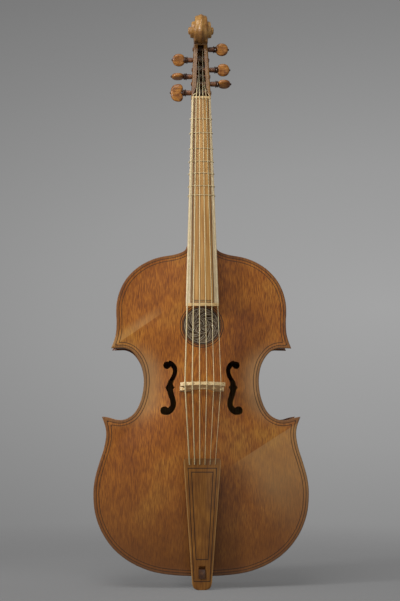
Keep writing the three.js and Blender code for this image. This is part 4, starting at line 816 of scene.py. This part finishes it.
# Oiled tan hardwood with darker streaks along the board. The inlaid lines follow the strips.
BOARD_STREAK_MM, BOARD_LINES_MM, BOARD_LINE_HALF_MM = 3.2, (1.6, 5.2), 0.9
tan_board, tree, place = new_material("oiled_tan_fingerboard")
look, streaks = figured(tree, place, BOARD_STREAK_MM, ((0.34, "97692A"), (0.5, "B0803C"), (0.66, "C29450")),
                        (1, 0.2, 0.02), detail=3.0)
axes = add(tree, "SeparateXYZ", {"Vector": place})
aside = add(tree, "Math", {0: axes.outputs["X"]}, operation="ABSOLUTE")
inner_edge = add(tree, "MapRange", {
    "Value": axes.outputs["Z"], "From Min": BOARD_END, "From Max": NUT_HEIGHT,
    "To Min": BOARD_END_HALF - STRIP_AT_END, "To Max": BOARD_NUT_HALF - STRIP_AT_NUT})
from_side = add(tree, "Math", {0: inner_edge, 1: aside}, operation="SUBTRACT")
from_foot = add(tree, "Math", {0: axes.outputs["Z"], 1: STRIP_FOOT}, operation="SUBTRACT")
from_strip = add(tree, "Math", {0: from_side, 1: from_foot}, operation="MINIMUM")
from_strip = add(tree, "Math", {0: from_strip, 1: 1 / MM}, operation="MULTIPLY")
for line_mm in BOARD_LINES_MM:
    look = inlaid(tree, look, "443020", 0.9, from_strip, line_mm, BOARD_LINE_HALF_MM)
finish_with(tan_board, look, streaks, bump_mm=0.05, roughness=0.5, coat_weight=0.15, coat_roughness=0.3)
finished("fingerboard_crowned", board, tan_board, replaces=["fingerboard"])

# Polished bone: nearly white, with fine lengthwise pores and a slightly waxy look
bone, tree, place = new_material("polished_bone")
look, pores = figured(tree, place, 1.2, ((0.36, "B9A27C"), (0.6, "D0BB96")), (1, 1, 0.04))
finish_with(bone, look, pores, bump_mm=0.03, roughness=0.35, coat_weight=0.2)
# Waxed boxwood, yellower than the bone, with its pores across the board
boxwood, tree, place = new_material("waxed_boxwood")
look, pores = figured(tree, place, 1.5, ((0.36, "B8935A"), (0.6, "D2B27A")), (0.08, 1, 1))
finish_with(boxwood, look, pores, bump_mm=0.03, roughness=0.45)
for name, tool, material in (("edge_left", edge_tool(-1, STRIP_FOOT + JOINT, 0), bone),
                             ("edge_right", edge_tool(1, STRIP_FOOT + JOINT, 0), bone),
                             ("end_strip", end_tool(STRIP_FOOT - JOINT), boxwood)):
    strip = carved(carved(whole_board(), [whole_board(STRIP)]), [tool], "INTERSECT")
    finished(f"board_{name}", strip, material, replaces=[f"fingerboard_{name}"])

# Nut. A strip of boxwood between board and pegbox, rounded over and notched for six strings.
STRING_MM = (2.6, 2.2, 1.8, 1.5, 1.2, 1.0)
NUT_LIFT, NUT_PITCH, BRIDGE_PITCH, TAIL_PITCH = 1.6 * MM, 6.9 * MM, 14.6 * MM, 10.5 * MM


def nut_face(x):
    return BOARD_NUT_Y - NUT_LIFT + crown(x)


def spread(i, pitch):
    return (i - 2.5) * pitch


# Levels of the nut above its foot, and how far its face is eased back there, in mm
NUT_LEVELS_MM = ((0, 0.5), (0.5, 0), (4, 0), (5.1, 0.5), (5.6, 1.4))
NOTCH_MARGIN_MM, NOTCH_SINK, NOTCH_REACH, NUT_PLAY = (0.15, 0.2), 0.3 * MM, 2 * MM, 0.1 * MM
nut_half, nut_back = BOARD_NUT_HALF - NUT_PLAY, neck_face(NUT_HEIGHT) - GLUE_FILM
nut_rings = []
for z, ease in NUT_LEVELS_MM:
    front = [(x, nut_face(x) + ease * MM) for x in (nut_half * (2 * i / 24 - 1) for i in range(25))]
    nut_rings.append([(x, y, NUT_HEIGHT + z * MM)
                      for x, y in (*front, (nut_half, nut_back), (-nut_half, nut_back))])
bm = bmesh.new()
loft(bm, nut_rings)
notches = []
for i, width in enumerate(STRING_MM):
    x = spread(i, NUT_PITCH)
    half, deep = ((width / 2 + margin) * MM for margin in NOTCH_MARGIN_MM)
    notch = bmesh.new()
    loft(notch, [[(x + half * math.cos(a), nut_face(x) + deep * math.sin(a) - NOTCH_SINK, z)
                  for a in round_turns(12)]
                 for z in (NUT_HEIGHT - NOTCH_REACH, NUT_HEIGHT + NUT_LENGTH + NOTCH_REACH)])
    notches.append(notch)
bm = carved(bm, notches)
finished("nut_notched", bm, boxwood, replaces=["nut"])

# Frets. Seven lengths of gut, each tied tightly round board and neck with a small knot on the
# bass side. They grip by friction and slide when they are tuned.
FRET_MM = 1.3
FRET_SHARES = (0.0724, 0.1234, 0.1793, 0.2254, 0.2682, 0.3126, 0.3455)
BRIDGE_Z, BRIDGE_LEAN = BODY_FOOT + 382 * MM, 14 * MM
STRING_LENGTH = 607.8 * MM
BOARD_SLOPE = (BOARD_NUT_Y - BOARD_END_Y) / (NUT_HEIGHT - BOARD_END)


def tube(bm, path, radius, sides=8, closed=False):
    """A round strand along a path of points."""
    path = [Vector(p) for p in path]
    rings = []
    across = None
    for i, point in enumerate(path):
        if closed:
            way = (path[(i + 1) % len(path)] - path[i - 1]).normalized()
        else:
            way = (path[min(i + 1, len(path) - 1)] - path[max(i - 1, 0)]).normalized()
        across = way.orthogonal() if across is None else across - way * across.dot(way)
        across.normalize()
        beside = way.cross(across)
        rings.append([point + (across * math.cos(a) + beside * math.sin(a)) * radius
                      for a in round_turns(sides)])
    loft(bm, [*rings, rings[0]] if closed else rings, caps=not closed)
    if closed:
        bmesh.ops.remove_doubles(bm, verts=bm.verts, dist=WELD)


def neck_girth(z):
    """The points round board and neck at a height, always as many."""
    front = [(x, y) for x, y, _ in board_line(z, 12)]
    corners = [(board_half(z), board_back(z)), (-board_half(z), board_back(z))]
    back = [(x, y) for x, y, _ in neck_section(z, 20)[1:-1]]
    return [Vector(p) for p in (*front, corners[0], *back, corners[1])]


# Twisted sheep gut, polished and oiled: cream, with a fine spiral lay, and painted darker near the pegs as
# shade of the pegbox slot
GUT_LAY_MM, SLOT_SHADE_RUN = 2.2, (NUT_HEIGHT + 4 * MM, NUT_HEIGHT + 45 * MM)
gut, tree, place = new_material("polished_sheep_gut")
look, lay = figured(tree, place, GUT_LAY_MM, ((0.35, "C6B07E"), (0.62, "DCCB9E")))
height = add(tree, "SeparateXYZ", {"Vector": place}).outputs["Z"]
# Painted shade where the strings run into the dark pegbox slot
finish_with(gut, tinted(tree, look, "54482E", 0.9, (height, *SLOT_SHADE_RUN)), lay, bump_mm=0.05, roughness=0.45,
            coat_weight=0.2)

# The wound ends are dark, a painted shade of the pegbox slot they lie in
slot_shaded_gut, tree, place = new_material("slot_shaded_sheep_gut")
look, lay = figured(tree, place, 1.8, ((0.35, "32281A"), (0.62, "50422A")))
finish_with(slot_shaded_gut, look, lay, bump_mm=0.05, roughness=0.6)

FRET_GAP_MM, SHARP_BEND = 0.35, 0.8
KNOT_RADIUS, KNOT_SHAPE, KNOT_OFF = 1.25 * MM, (0.8, 1.0, 1.3, 1), Vector((-0.3 * MM, 0.3 * MM, 0))
for number, share in enumerate(FRET_SHARES, 1):
    level = NUT_HEIGHT - share * STRING_LENGTH
    top = along_board(level, BOARD_END_Y, BOARD_NUT_Y)
    points = []
    for k, (_, y) in enumerate(neck_girth(level)):
        z = level - BOARD_SLOPE * (y - top)
        points.append(Vector((*neck_girth(z)[k], z)))
    loop = [points[k] for k in convex_hull_2d([p.xy for p in points])]
    grown = []
    reach = (FRET_GAP_MM + FRET_MM / 2) * MM
    for k, point in enumerate(loop):
        before = (point.xy - loop[k - 1].xy).normalized()
        after = (loop[(k + 1) % len(loop)].xy - point.xy).normalized()
        for share_way in ((0, 0.5, 1) if before.dot(after) < SHARP_BEND else (0.5,)):
            way = before.lerp(after, share_way).normalized()
            grown.append(point + Vector((way.y, -way.x, 0)) * reach)
    bm = bmesh.new()
    tube(bm, grown, FRET_MM / 2 * MM, closed=True)
    corner = min(grown, key=lambda p: p.x - 0.2 * p.y)
    knot = Matrix.Translation(corner + KNOT_OFF)
    bmesh.ops.create_uvsphere(bm, u_segments=12, v_segments=8, radius=KNOT_RADIUS,
                              matrix=knot @ Matrix.Diagonal(KNOT_SHAPE))
    finished(f"gut_fret_{number}", bm, gut, body=f"tied_fret_{number}", replaces=[f"fret_{number}"],
             crease=60)

# Pegs. Six tapered pegs of dark-stained pearwood, each with a turned collar, a flat rounded
# head, and a small button let into its end. They sit in reamed holes and turn by hand.
PEG_NAMES = ("bass_1", "bass_2", "bass_3", "treble_3", "treble_2", "treble_1")
PEG_TURNS = (0, 80, 12, 15, 10, 66)
PEG_BODIES = [name.replace("_", "_peg_") for name in PEG_NAMES]
PEG_COLLAR_LENGTH, PEG_END, PEG_TIP_EASE, HEAD_MIDDLE = 6.5 * MM, 2 * MM, 0.7 * MM, 0.52
HEAD_LENGTH, HEAD_HALF, BROAD_HEAD_HALF, HEAD_THICKNESS = 26 * MM, 13.5 * MM, 19 * MM, 9 * MM
HEAD_OUTLINE = ((0, 0.34), (0.03, 0.56), (0.12, 0.79), (0.28, 0.95), (0.48, 1), (0.67, 0.94), (0.83, 0.77),
                (0.94, 0.5), (0.99, 0.22))
# The broad head is drawn in to a heart, with its lobes towards the pegbox.
HEART_OUTLINE = ((0.08, 0.18), (0, 0.4), (0.02, 0.7), (0.13, 0.92), (0.3, 1), (0.55, 0.97), (0.78, 0.84),
                 (0.93, 0.58), (0.99, 0.28))
HEAD_SECTION = ((-1, 0.62), (-0.86, 0.82), (-0.55, 0.95), (0, 1), (0.55, 0.95), (0.86, 0.82), (1, 0.62))
# Turned profiles as (radius, distance along): the thick part of the shaft from the cheek out,
# the collar from its own foot, and the button from the end of the head
SHAFT_MM, SHAFT_END_MM = ((4.8, 2), (5.4, 2.6)), ((5.4, 0.4), (0, 0.4))
COLLAR_MM = ((0, 0), (6.2, 0), (7.5, 0.6), (7.8, 1.5), (7.1, 2.4), (5.6, 3), (6.4, 3.8), (7, 5), (6.6, 6.2),
             (5, 7.1), (3.6, 10.5), (0, 10.5))
BUTTON_MM = ((0, -2), (2, -2), (2.5, 0), (2.2, 1), (1.2, 2), (0, 2.2))

# Wiped stain and shellac on pearwood, rubbed to a honey brown where fingers turn the heads
peg_woods = {}
for part, tones in (("head", ("7A4A1C", "9C6426", "B67C38")), ("collar", ("2A180C", "3E2412", "54341C")),
                    ("shaft", ("5A341A", "7A4A26", "8E5C32"))):
    peg_woods[part], tree, place = new_material(f"rubbed_pearwood_{part}s")
    look, grain = figured(tree, place, 2.5, zip((0.34, 0.5, 0.66), tones), (0.12, 1, 1), detail=3.0)
    look = figured(tree, place, 11, ((0.36, "A98E78"), (0.6, "FFFFFF")), over=look, share=0.8)[0]
    finish_with(peg_woods[part], look, grain, bump_mm=0.06, roughness=0.4, specular_ior_level=0.35,
                coat_weight=0.2, coat_roughness=0.2)


def peg_head(half, outline, start):
    """A flat rounded head in the plane of the peg's axis, a little thinner towards its edge."""
    right = fair_curve([*outline, (1, 0)], 4)
    left = [Vector((p.x, -p.y)) for p in reversed(right[:-1])]
    bm = bmesh.new()
    loft(bm, [[(start + HEAD_LENGTH * between(HEAD_MIDDLE, p.x, share), across * HEAD_THICKNESS / 2,
                half * p.y * share) for p in (*right, *left)] for across, share in HEAD_SECTION])
    return bm


for i, (name, body, turn, z) in enumerate(zip(PEG_NAMES, PEG_BODIES, PEG_TURNS, PEG_HEIGHTS)):
    cheek = along_box(z, BOX_HALF)
    collar = cheek + PEG_COLLAR_OUT
    head = collar + PEG_COLLAR_LENGTH
    tip = -cheek - PEG_END
    shaft = bmesh.new()
    turned(shaft, [(0, tip), (PEG_TIP_RADIUS - PEG_TIP_EASE, tip), (PEG_TIP_RADIUS, tip + PEG_TIP_EASE),
                   *in_mm(SHAFT_MM, along=cheek), *in_mm(SHAFT_END_MM, along=collar)], 32)
    rings = bmesh.new()
    turned(rings, in_mm(COLLAR_MM, along=collar), 32)
    turned(rings, in_mm(BUTTON_MM, along=head + HEAD_LENGTH), 16)
    blade = (peg_head(BROAD_HEAD_HALF, HEART_OUTLINE, head) if i == 0
             else peg_head(HEAD_HALF, HEAD_OUTLINE, head))
    place = (Matrix.Translation((0, along_box(z, BOX_FRONT) + PEG_DEPTH, z))
             @ Matrix.Rotation(math.radians(turn), 4, "X") @ Matrix.Rotation(math.pi if i < 3 else 0, 4, "Z"))
    for part, shape in (("shaft", shaft), ("collar", rings), ("head", blade)):
        bmesh.ops.transform(shape, matrix=place, verts=shape.verts)
        finished(f"peg_{part}_{name}", shape, peg_woods[part], body=body, replaces=[f"peg_{name}"],
                 crease=40)

# Strings. Six plain gut strings run from holes in the tailpiece over bridge and nut into the
# pegbox, where each winds three times round its peg.
TAIL_TOP, TAIL_FOOT_Y, TAIL_TOP_Y, TAIL_TOP_HALF = 268 * MM, -36 * MM, -56 * MM, 38 * MM
TAIL_THICKNESS, TAIL_CROWN, TAIL_HOLE_Z = 8.5 * MM, 2 * MM, TAIL_TOP - 12 * MM
BRIDGE_CROWN_Y, BRIDGE_CROWN_RADIUS = -95 * MM, 90 * MM
SEAT_GAP, WINDING_GAP, WINDING_TURNS, WINDING_STEPS = 0.3 * MM, 0.6 * MM, 3, 32


def tail_face(z):
    return between(TAIL_FOOT_Y, TAIL_TOP_Y, z / TAIL_TOP)


def bridge_crown(x):
    return BRIDGE_CROWN_Y + BRIDGE_CROWN_RADIUS - math.sqrt(BRIDGE_CROWN_RADIUS ** 2 - x ** 2)


STRING_CORNER = 2.5 * MM
for i, (body, width) in enumerate(zip(PEG_BODIES, STRING_MM)):
    radius = width / 2 * MM
    lift = radius + SEAT_GAP
    side = 1 if i < 3 else -1
    pitch = 2 * radius + WINDING_GAP
    slot_x = -side * (WINDING_TURNS + 1) * pitch / 2
    peg_y, peg_z = along_box(PEG_HEIGHTS[i], BOX_FRONT) + PEG_DEPTH, PEG_HEIGHTS[i]
    turn_radius = PEG_RADIUS + PEG_PLAY + radius
    over_tail, over_bridge, over_nut = spread(i, TAIL_PITCH), spread(i, BRIDGE_PITCH), spread(i, NUT_PITCH)
    tail_y, bridge_z = tail_face(TAIL_HOLE_Z), BRIDGE_Z + BRIDGE_LEAN
    bridge_y, nut_y = bridge_crown(over_bridge) - lift, nut_face(over_nut) - lift
    path = [(over_tail, tail_y + TAIL_THICKNESS, TAIL_HOLE_Z),
            (over_tail, tail_y + TAIL_CROWN * (over_tail / TAIL_TOP_HALF) ** 2 - lift, TAIL_HOLE_Z),
            (over_bridge, bridge_y, bridge_z - STRING_CORNER),
            (over_bridge, bridge_y, bridge_z + STRING_CORNER),
            (over_nut, nut_y, NUT_HEIGHT), (over_nut, nut_y, NUT_HEIGHT + NUT_LENGTH + radius),
            (slot_x, peg_y - turn_radius, peg_z)]
    bm = bmesh.new()
    tube(bm, path, radius, 12)
    finished(f"gut_string_{i + 1}", bm, gut, replaces=[f"string_{i + 1}"], crease=70)
    coil = []
    for turns in (step / WINDING_STEPS for step in range(WINDING_TURNS * WINDING_STEPS + 1)):
        angle = 2 * math.pi * turns
        coil.append((slot_x + side * pitch * (1 + turns), peg_y - turn_radius * math.cos(angle),
                     peg_z + turn_radius * math.sin(angle)))
    bm = bmesh.new()
    tube(bm, coil, radius, 10)
    finished(f"wound_string_{i + 1}", bm, slot_shaded_gut, body=body,
             replaces=[f"string_winding_{i + 1}"])

# Bridge. One piece of pale maple on two feet that are cut to the arching, thinner at its crown,
# with a heart-shaped hole and two round eyes. String tension alone holds it.
BRIDGE_HALF, BRIDGE_FOOT_TOP, BRIDGE_FOOT_INNER = 45.5 * MM, -32 * MM, 23.5 * MM
BRIDGE_SIDE = ((1, 0), (0.87, 0.08), (0.79, 0.28), (0.81, 0.52), (0.92, 0.72), (1, 0.84), (1, 1))
BRIDGE_ARCH = ((1, 0), (0.94, 0.3), (0.78, 0.62), (0.48, 0.9), (0, 1))
BRIDGE_BASE, BRIDGE_TOP_THICKNESS, ARCH_FOOT_Y, ARCH_RISE = 11 * MM, 6.5 * MM, -24 * MM, -22 * MM
HEART_MM = ((0, -6.2), (2.4, -8.6), (5.6, -8.4), (7.6, -5), (6.6, -0.6), (3.4, 4.4), (0, 8.2))
EYE_OUT, EYE_RADIUS, HEART_LEVEL, EYE_LEVEL = 0.52 * BRIDGE_HALF, 6 * MM, 0.52, 0.5
CUT_DEPTH, ARCH_CUT_DEPTH, BEHIND_PLATE = (-20 * MM, 30 * MM), (-12 * MM, 0, 12 * MM), 20 * MM


def bridge_middle(y):
    return BRIDGE_Z + BRIDGE_LEAN * y / BRIDGE_CROWN_Y


def bridge_thickness(y):
    return between(BRIDGE_BASE, BRIDGE_TOP_THICKNESS, y / BRIDGE_CROWN_Y)


shoulder = bridge_crown(BRIDGE_HALF)
sides_up = fair_curve([(x * BRIDGE_HALF, between(BRIDGE_FOOT_TOP, shoulder, y)) for x, y in BRIDGE_SIDE], 4)
arch_round = fair_curve([(x * BRIDGE_FOOT_INNER, ARCH_FOOT_Y + ARCH_RISE * y) for x, y in BRIDGE_ARCH], 3)
crown_line = [Vector((x, bridge_crown(x))) for x in (BRIDGE_HALF * (1 - i / 8) for i in range(1, 8))]
right = [Vector((BRIDGE_FOOT_INNER, 0)), Vector((BRIDGE_HALF, 0)), *sides_up, *crown_line]
bridge_outline = [*right, Vector((0, BRIDGE_CROWN_Y)), *mirrored(right),
                  *(Vector((-p.x, p.y)) for p in arch_round[:-1]), *reversed(arch_round)]
bm = bmesh.new()
loft(bm, [[(p.x, p.y, bridge_middle(p.y) + way * bridge_thickness(p.y) / 2) for p in bridge_outline]
          for way in (-1, 1)])
heart_y, eye_y = (between(BRIDGE_FOOT_TOP, shoulder, level) for level in (HEART_LEVEL, EYE_LEVEL))
heart_half = [Vector((x * MM, heart_y - y * MM)) for x, y in HEART_MM]
tools = []
for cut in (fair_curve([*heart_half, *mirrored(heart_half[1:-1])], 4, closed=True),
            disc(-EYE_OUT, eye_y, EYE_RADIUS), disc(EYE_OUT, eye_y, EYE_RADIUS)):
    tools.append(bmesh.new())
    loft(tools[-1], [[(*p, z) for p in cut] for z in (BRIDGE_Z + away for away in CUT_DEPTH)])
# The feet are cut to the arching, a hair above it.
arch_tool = bmesh.new()
columns = [BRIDGE_HALF * 1.05 * (2 * i / 24 - 1) for i in range(25)]
loft(arch_tool, [[(x, -arch_at(x, z) - PLATE - SEAT_GAP, z) for x in columns]
                 + [(columns[-1], BEHIND_PLATE, z), (columns[0], BEHIND_PLATE, z)]
                 for z in (BRIDGE_Z + away for away in ARCH_CUT_DEPTH)])
bm = carved(bm, [*tools, arch_tool])

# Unvarnished quarter-sawn maple: cream, with short dark flecks that lie across the bridge
bridge_maple, tree, place = new_material("unvarnished_quartered_maple")
look, flecks = figured(tree, place, 1.6, ((0.3, "B08A54"), (0.42, "D4B37C"), (0.62, "E6CC9C")),
                       (0.22, 1, 0.6))
finish_with(bridge_maple, look, flecks, bump_mm=0.04, roughness=0.5)
finished("bridge_pierced", bm, bridge_maple, replaces=["bridge"])

# Tailpiece. A flat board of stained maple, widest at the string holes, slightly hollow across
# its face, with two dark inlaid frames. The hook bar holds it through the square mortise.
TAIL_END_Z, TAIL_END_HALF, TAIL_FOOT_HALF, TAIL_END_RUN = 0.6 * MM, 10 * MM, 20.3 * MM, 13 * MM
MORTISE_HALF, MORTISE_BOTTOM, MORTISE_TOP = 7 * MM, 23.5 * MM, 50 * MM
TAIL_ENDS = ((0, 0), (0.2, 0.5), (0.5, 0.8), (1, 1))
TAIL_TOPS = ((0.97, 1), (0.99, 0.985), (1, 0.94))
TAIL_EASE, TAIL_EDGE_DROP, IN_FRONT_OF_TAIL, HOLE_PLAY_MM = 1.2 * MM, 0.5 * MM, -80 * MM, 0.6


def tail_ring(half, z):
    line = [(half * s, tail_face(z) + TAIL_CROWN * s ** 2) for s in (-1 + i / 8 for i in range(17))]
    rear = tail_face(z) + TAIL_THICKNESS
    for i in (0, -1):
        line[i] = (line[i][0], line[i][1] + TAIL_EDGE_DROP)
    return [(x, y, z) for x, y in (*line, (half, rear - TAIL_EASE), (half - TAIL_EASE, rear),
                                   (TAIL_EASE - half, rear), (-half, rear - TAIL_EASE))]


bm = bmesh.new()
ends = fair_curve([(between(TAIL_END_HALF, TAIL_FOOT_HALF, x), TAIL_END_Z + z * TAIL_END_RUN)
                   for z, x in TAIL_ENDS], 4)
tops = [Vector((x * TAIL_TOP_HALF, z * TAIL_TOP)) for z, x in TAIL_TOPS]
loft(bm, [tail_ring(p.x, p.y) for p in (*ends, *tops)])
cuts = [rectangle(MORTISE_HALF, MORTISE_BOTTOM, MORTISE_TOP)]
for i, width in enumerate(STRING_MM):
    cuts.append(disc(spread(i, TAIL_PITCH), TAIL_HOLE_Z, (width / 2 + HOLE_PLAY_MM) * MM, 20))
bm = carved(bm, [through(cut, IN_FRONT_OF_TAIL, 0) for cut in cuts])

# Dark stained maple under a worn varnish. Each inlaid frame is (bottom, top, half widths), in mm.
TAIL_FRAMES_MM = ((18, 248.4, 16.3, 29.2), (62.8, 240.5, 12.3, 22))
TAIL_LINE_HALF_MM, TAIL_EDGE_MM = 0.9, (2.4, 0.4)
tail_maple, tree, place = new_material("stained_maple_tailpiece")
look, grain = figured(tree, place, 3, ((0.3, "6C4212"), (0.5, "7F5118"), (0.7, "8E5F22")), (1, 1, 0.08),
                      detail=4.0)
look = figured(tree, place, 45, ((0.36, "B8A394"), (0.6, "F4F0EC")), over=look, share=0.6)[0]
axes = add(tree, "SeparateXYZ", {"Vector": place})
height = axes.outputs["Z"]
aside = add(tree, "Math", {0: axes.outputs["X"]}, operation="ABSOLUTE")
for bottom, top, low_half, high_half in TAIL_FRAMES_MM:
    half = add(tree, "MapRange", {
        "Value": height, "From Min": bottom * MM, "From Max": top * MM,
        "To Min": low_half * MM, "To Max": high_half * MM})
    beyond = add(tree, "Math", {0: aside, 1: half}, operation="SUBTRACT")
    for first, second in ((height, top * MM), (bottom * MM, height)):
        past_end = add(tree, "Math", {0: first, 1: second}, operation="SUBTRACT")
        beyond = add(tree, "Math", {0: beyond, 1: past_end}, operation="MAXIMUM")
    beyond = add(tree, "Math", {0: beyond, 1: 1 / MM}, operation="MULTIPLY")
    look = inlaid(tree, look, "2A1608", 0.95, beyond, 0, TAIL_LINE_HALF_MM)
full = add(tree, "MapRange", {
    "Value": height, "From Min": TAIL_END_Z + TAIL_END_RUN, "From Max": TAIL_TOPS[0][0] * TAIL_TOP,
    "To Min": TAIL_FOOT_HALF, "To Max": TAIL_TOP_HALF})
from_edge = add(tree, "Math", {0: full, 1: aside}, operation="SUBTRACT")
from_edge = add(tree, "Math", {0: from_edge, 1: 1 / MM}, operation="MULTIPLY")
look = tinted(tree, look, "B08850", 0.6, (from_edge, *TAIL_EDGE_MM))
finish_with(tail_maple, look, grain, bump_mm=0.05, roughness=0.45, specular_ior_level=0.3, coat_weight=0.15)
finished("tailpiece_inlaid", bm, tail_maple, replaces=["tailpiece"])

# Hook bar. A stout bar of maple, glued under the bottom ribs. Its foot is what the viol stands
# on, and its hook comes forward through the mortise and holds the tailpiece down.
HOOK_HALF, HOOK_EASE, TIP_HALF = 11 * MM, 0.8 * MM, MORTISE_HALF - 0.6 * MM
FOOT_SIDE_MM = ((-24, 0), (70, 0), (115.7, 12), (115.7, 28.2), (0.3, 28.2), (0.3, 24.7), (-4.3, 24.7),
                (-4.3, 38), (-24, 38))
TIP_SIDE_MM = ((-24, 38), (-29, 46), (-40.8, 42.5), (-40.8, 23.8), (-29, 23.8), (-24, 12), (-4.3, 12),
               (-4.3, 38))
blocks = []
for side_mm, half in ((FOOT_SIDE_MM, HOOK_HALF), (TIP_SIDE_MM, TIP_HALF)):
    blocks.append(bmesh.new())
    loft(blocks[-1], [[(x, y, z) for y, z in in_mm(side_mm)] for x in (-half, half)])
bm = carved(blocks[0], blocks[1:], "UNION")
bmesh.ops.dissolve_limit(bm, angle_limit=math.radians(1), verts=bm.verts, edges=bm.edges)
sharp = [e for e in bm.edges if len(e.link_faces) == 2 and e.calc_face_angle(0) > math.radians(30)]
bmesh.ops.bevel(bm, geom=sharp, offset=HOOK_EASE, segments=2, profile=0.5, affect="EDGES", clamp_overlap=True,
                material=-1)
finished("hook_bar_eased", bm, maple["hook"], replaces=["hook_bar"])

# Studio. The viol stands upright on a grey floor that runs on into a glowing grey backdrop. One large soft
# lamp hangs over it and a smaller one stands at its left.
FLOOR_RADIUS, FLOOR_FADE, FLOOR_CLEAR, DOME_RADIUS = 2.0, 0.5, 0.5, 9.0
DOME_GLOW, DOME_FALL, DOME_REACH = (1.8, 0, 1.2), (0.42, 0, 0.95), 2.6


def stage_piece(name, bm, material):
    """A part of the studio, which isn't part of the object."""
    for face in bm.faces:
        face.smooth = True
    obj = made_object(name, bm)
    obj.data.materials.append(material)


def clear_where(material, amount):
    """Lets light through a material where an amount rises to one."""
    tree = material.node_tree
    clear = add(tree, "BsdfTransparent")
    wire(tree.nodes["Material Output"], {"Surface": add(tree, "MixShader", {
        0: amount, 1: tree.nodes["Principled BSDF"], 2: clear})})


# Matt grey floor, half clear even beside the viol so that the backdrop's glow shows through and lightens its
# shadow as painted light, and clearer still away from the viol, so that no edge of the floor is seen
floor_paint, tree, place = new_material("matt_grey_floor_paint")
look = figured(tree, place, 500, ((0.3, "919191"), (0.7, "979797")))[0]
finish_with(floor_paint, look, roughness=0.95, specular_ior_level=0.1)
from_middle = add(tree, "VectorMath", {0: place}, operation="LENGTH")
clear_where(floor_paint, add(tree, "MapRange", {
    "Value": from_middle.outputs["Value"], "From Min": FLOOR_FADE, "From Max": FLOOR_RADIUS,
    "To Min": FLOOR_CLEAR}, interpolation_type="SMOOTHSTEP"))
bm = bmesh.new()
bmesh.ops.create_circle(bm, cap_ends=True, segments=96, radius=FLOOR_RADIUS)
stage_piece("floor", bm, floor_paint)

# The backdrop is seen by the camera and in reflections, and lets the room's light pass. Its grey is a glow,
# so no lamp marks it; the glow is brightest to the upper right and falls off from there, a painted pool of
# light.
backdrop, tree, place = new_material("glowing_grey_backdrop")
near = add(tree, "MapRange", {"Value": distance(tree, place, DOME_GLOW, DOME_FALL), "From Max": DOME_REACH})
glow = add(tree, "ValToRGB", {"Fac": near}, stops=(
    (0.0, "A4A4A4"), (0.4, "999999"), (0.77, "858585"), (1.0, "787878")))
finish_with(backdrop, colour("000000"), roughness=1.0, specular_ior_level=0.0, emission_color=glow,
            emission_strength=1.0)
rays = add(tree, "LightPath").outputs
seen = rays["Is Camera Ray"]
for kind in ("Is Glossy Ray", "Is Transmission Ray"):
    seen = add(tree, "Math", {0: seen, 1: rays[kind]}, operation="MAXIMUM")
clear_where(backdrop, add(tree, "Math", {0: 1.0, 1: seen}, operation="SUBTRACT"))
bm = bmesh.new()
bmesh.ops.create_uvsphere(bm, u_segments=48, v_segments=24, radius=DOME_RADIUS)
bmesh.ops.reverse_faces(bm, faces=bm.faces)
stage_piece("backdrop", bm, backdrop)

world = bpy.data.worlds.new("pale_room")
bpy.context.scene.world = world
world.use_nodes = True
wire(world.node_tree.nodes["Background"], {"Color": colour("B8B8B8"), "Strength": 0.5})


def aimed(obj, spot, aim):
    """Stands a lamp or the camera in its spot and turns it to its aim."""
    obj.location = spot
    obj.rotation_euler = (Vector(aim) - Vector(spot)).to_track_quat("-Z", "Y").to_euler()
    bpy.context.scene.collection.objects.link(obj)


# Each lamp with its spot, its aim, its size in metres and its watts
LAMPS = (("soft_top", (-0.6, -1.6, 2.9), (0, 0, 0.5), 1.8, 47),
         ("side_key", (-2.6, -1.6, 1.3), (0, 0, 0.7), 0.6, 59),
         ("weak_fill", (1.2, -3.2, 0.3), (0, 0, 0.3), 1.8, 8))
for name, spot, aim, size, watts in LAMPS:
    light = bpy.data.lights.new(name, "AREA")
    light.energy, light.size = watts, size
    aimed(bpy.data.objects.new(name, light), spot, aim)

CAMERA_SPOT, CAMERA_AIM, CAMERA_LENS = (-0.12, -3.15, 0.3614), (-0.0028, 0, 0.5955), 90.5
camera = bpy.data.objects.new("camera", bpy.data.cameras.new("camera"))
camera.data.lens = CAMERA_LENS
aimed(camera, CAMERA_SPOT, CAMERA_AIM)
bpy.context.scene.camera = camera
bpy.context.scene.view_settings.view_transform = "Standard"
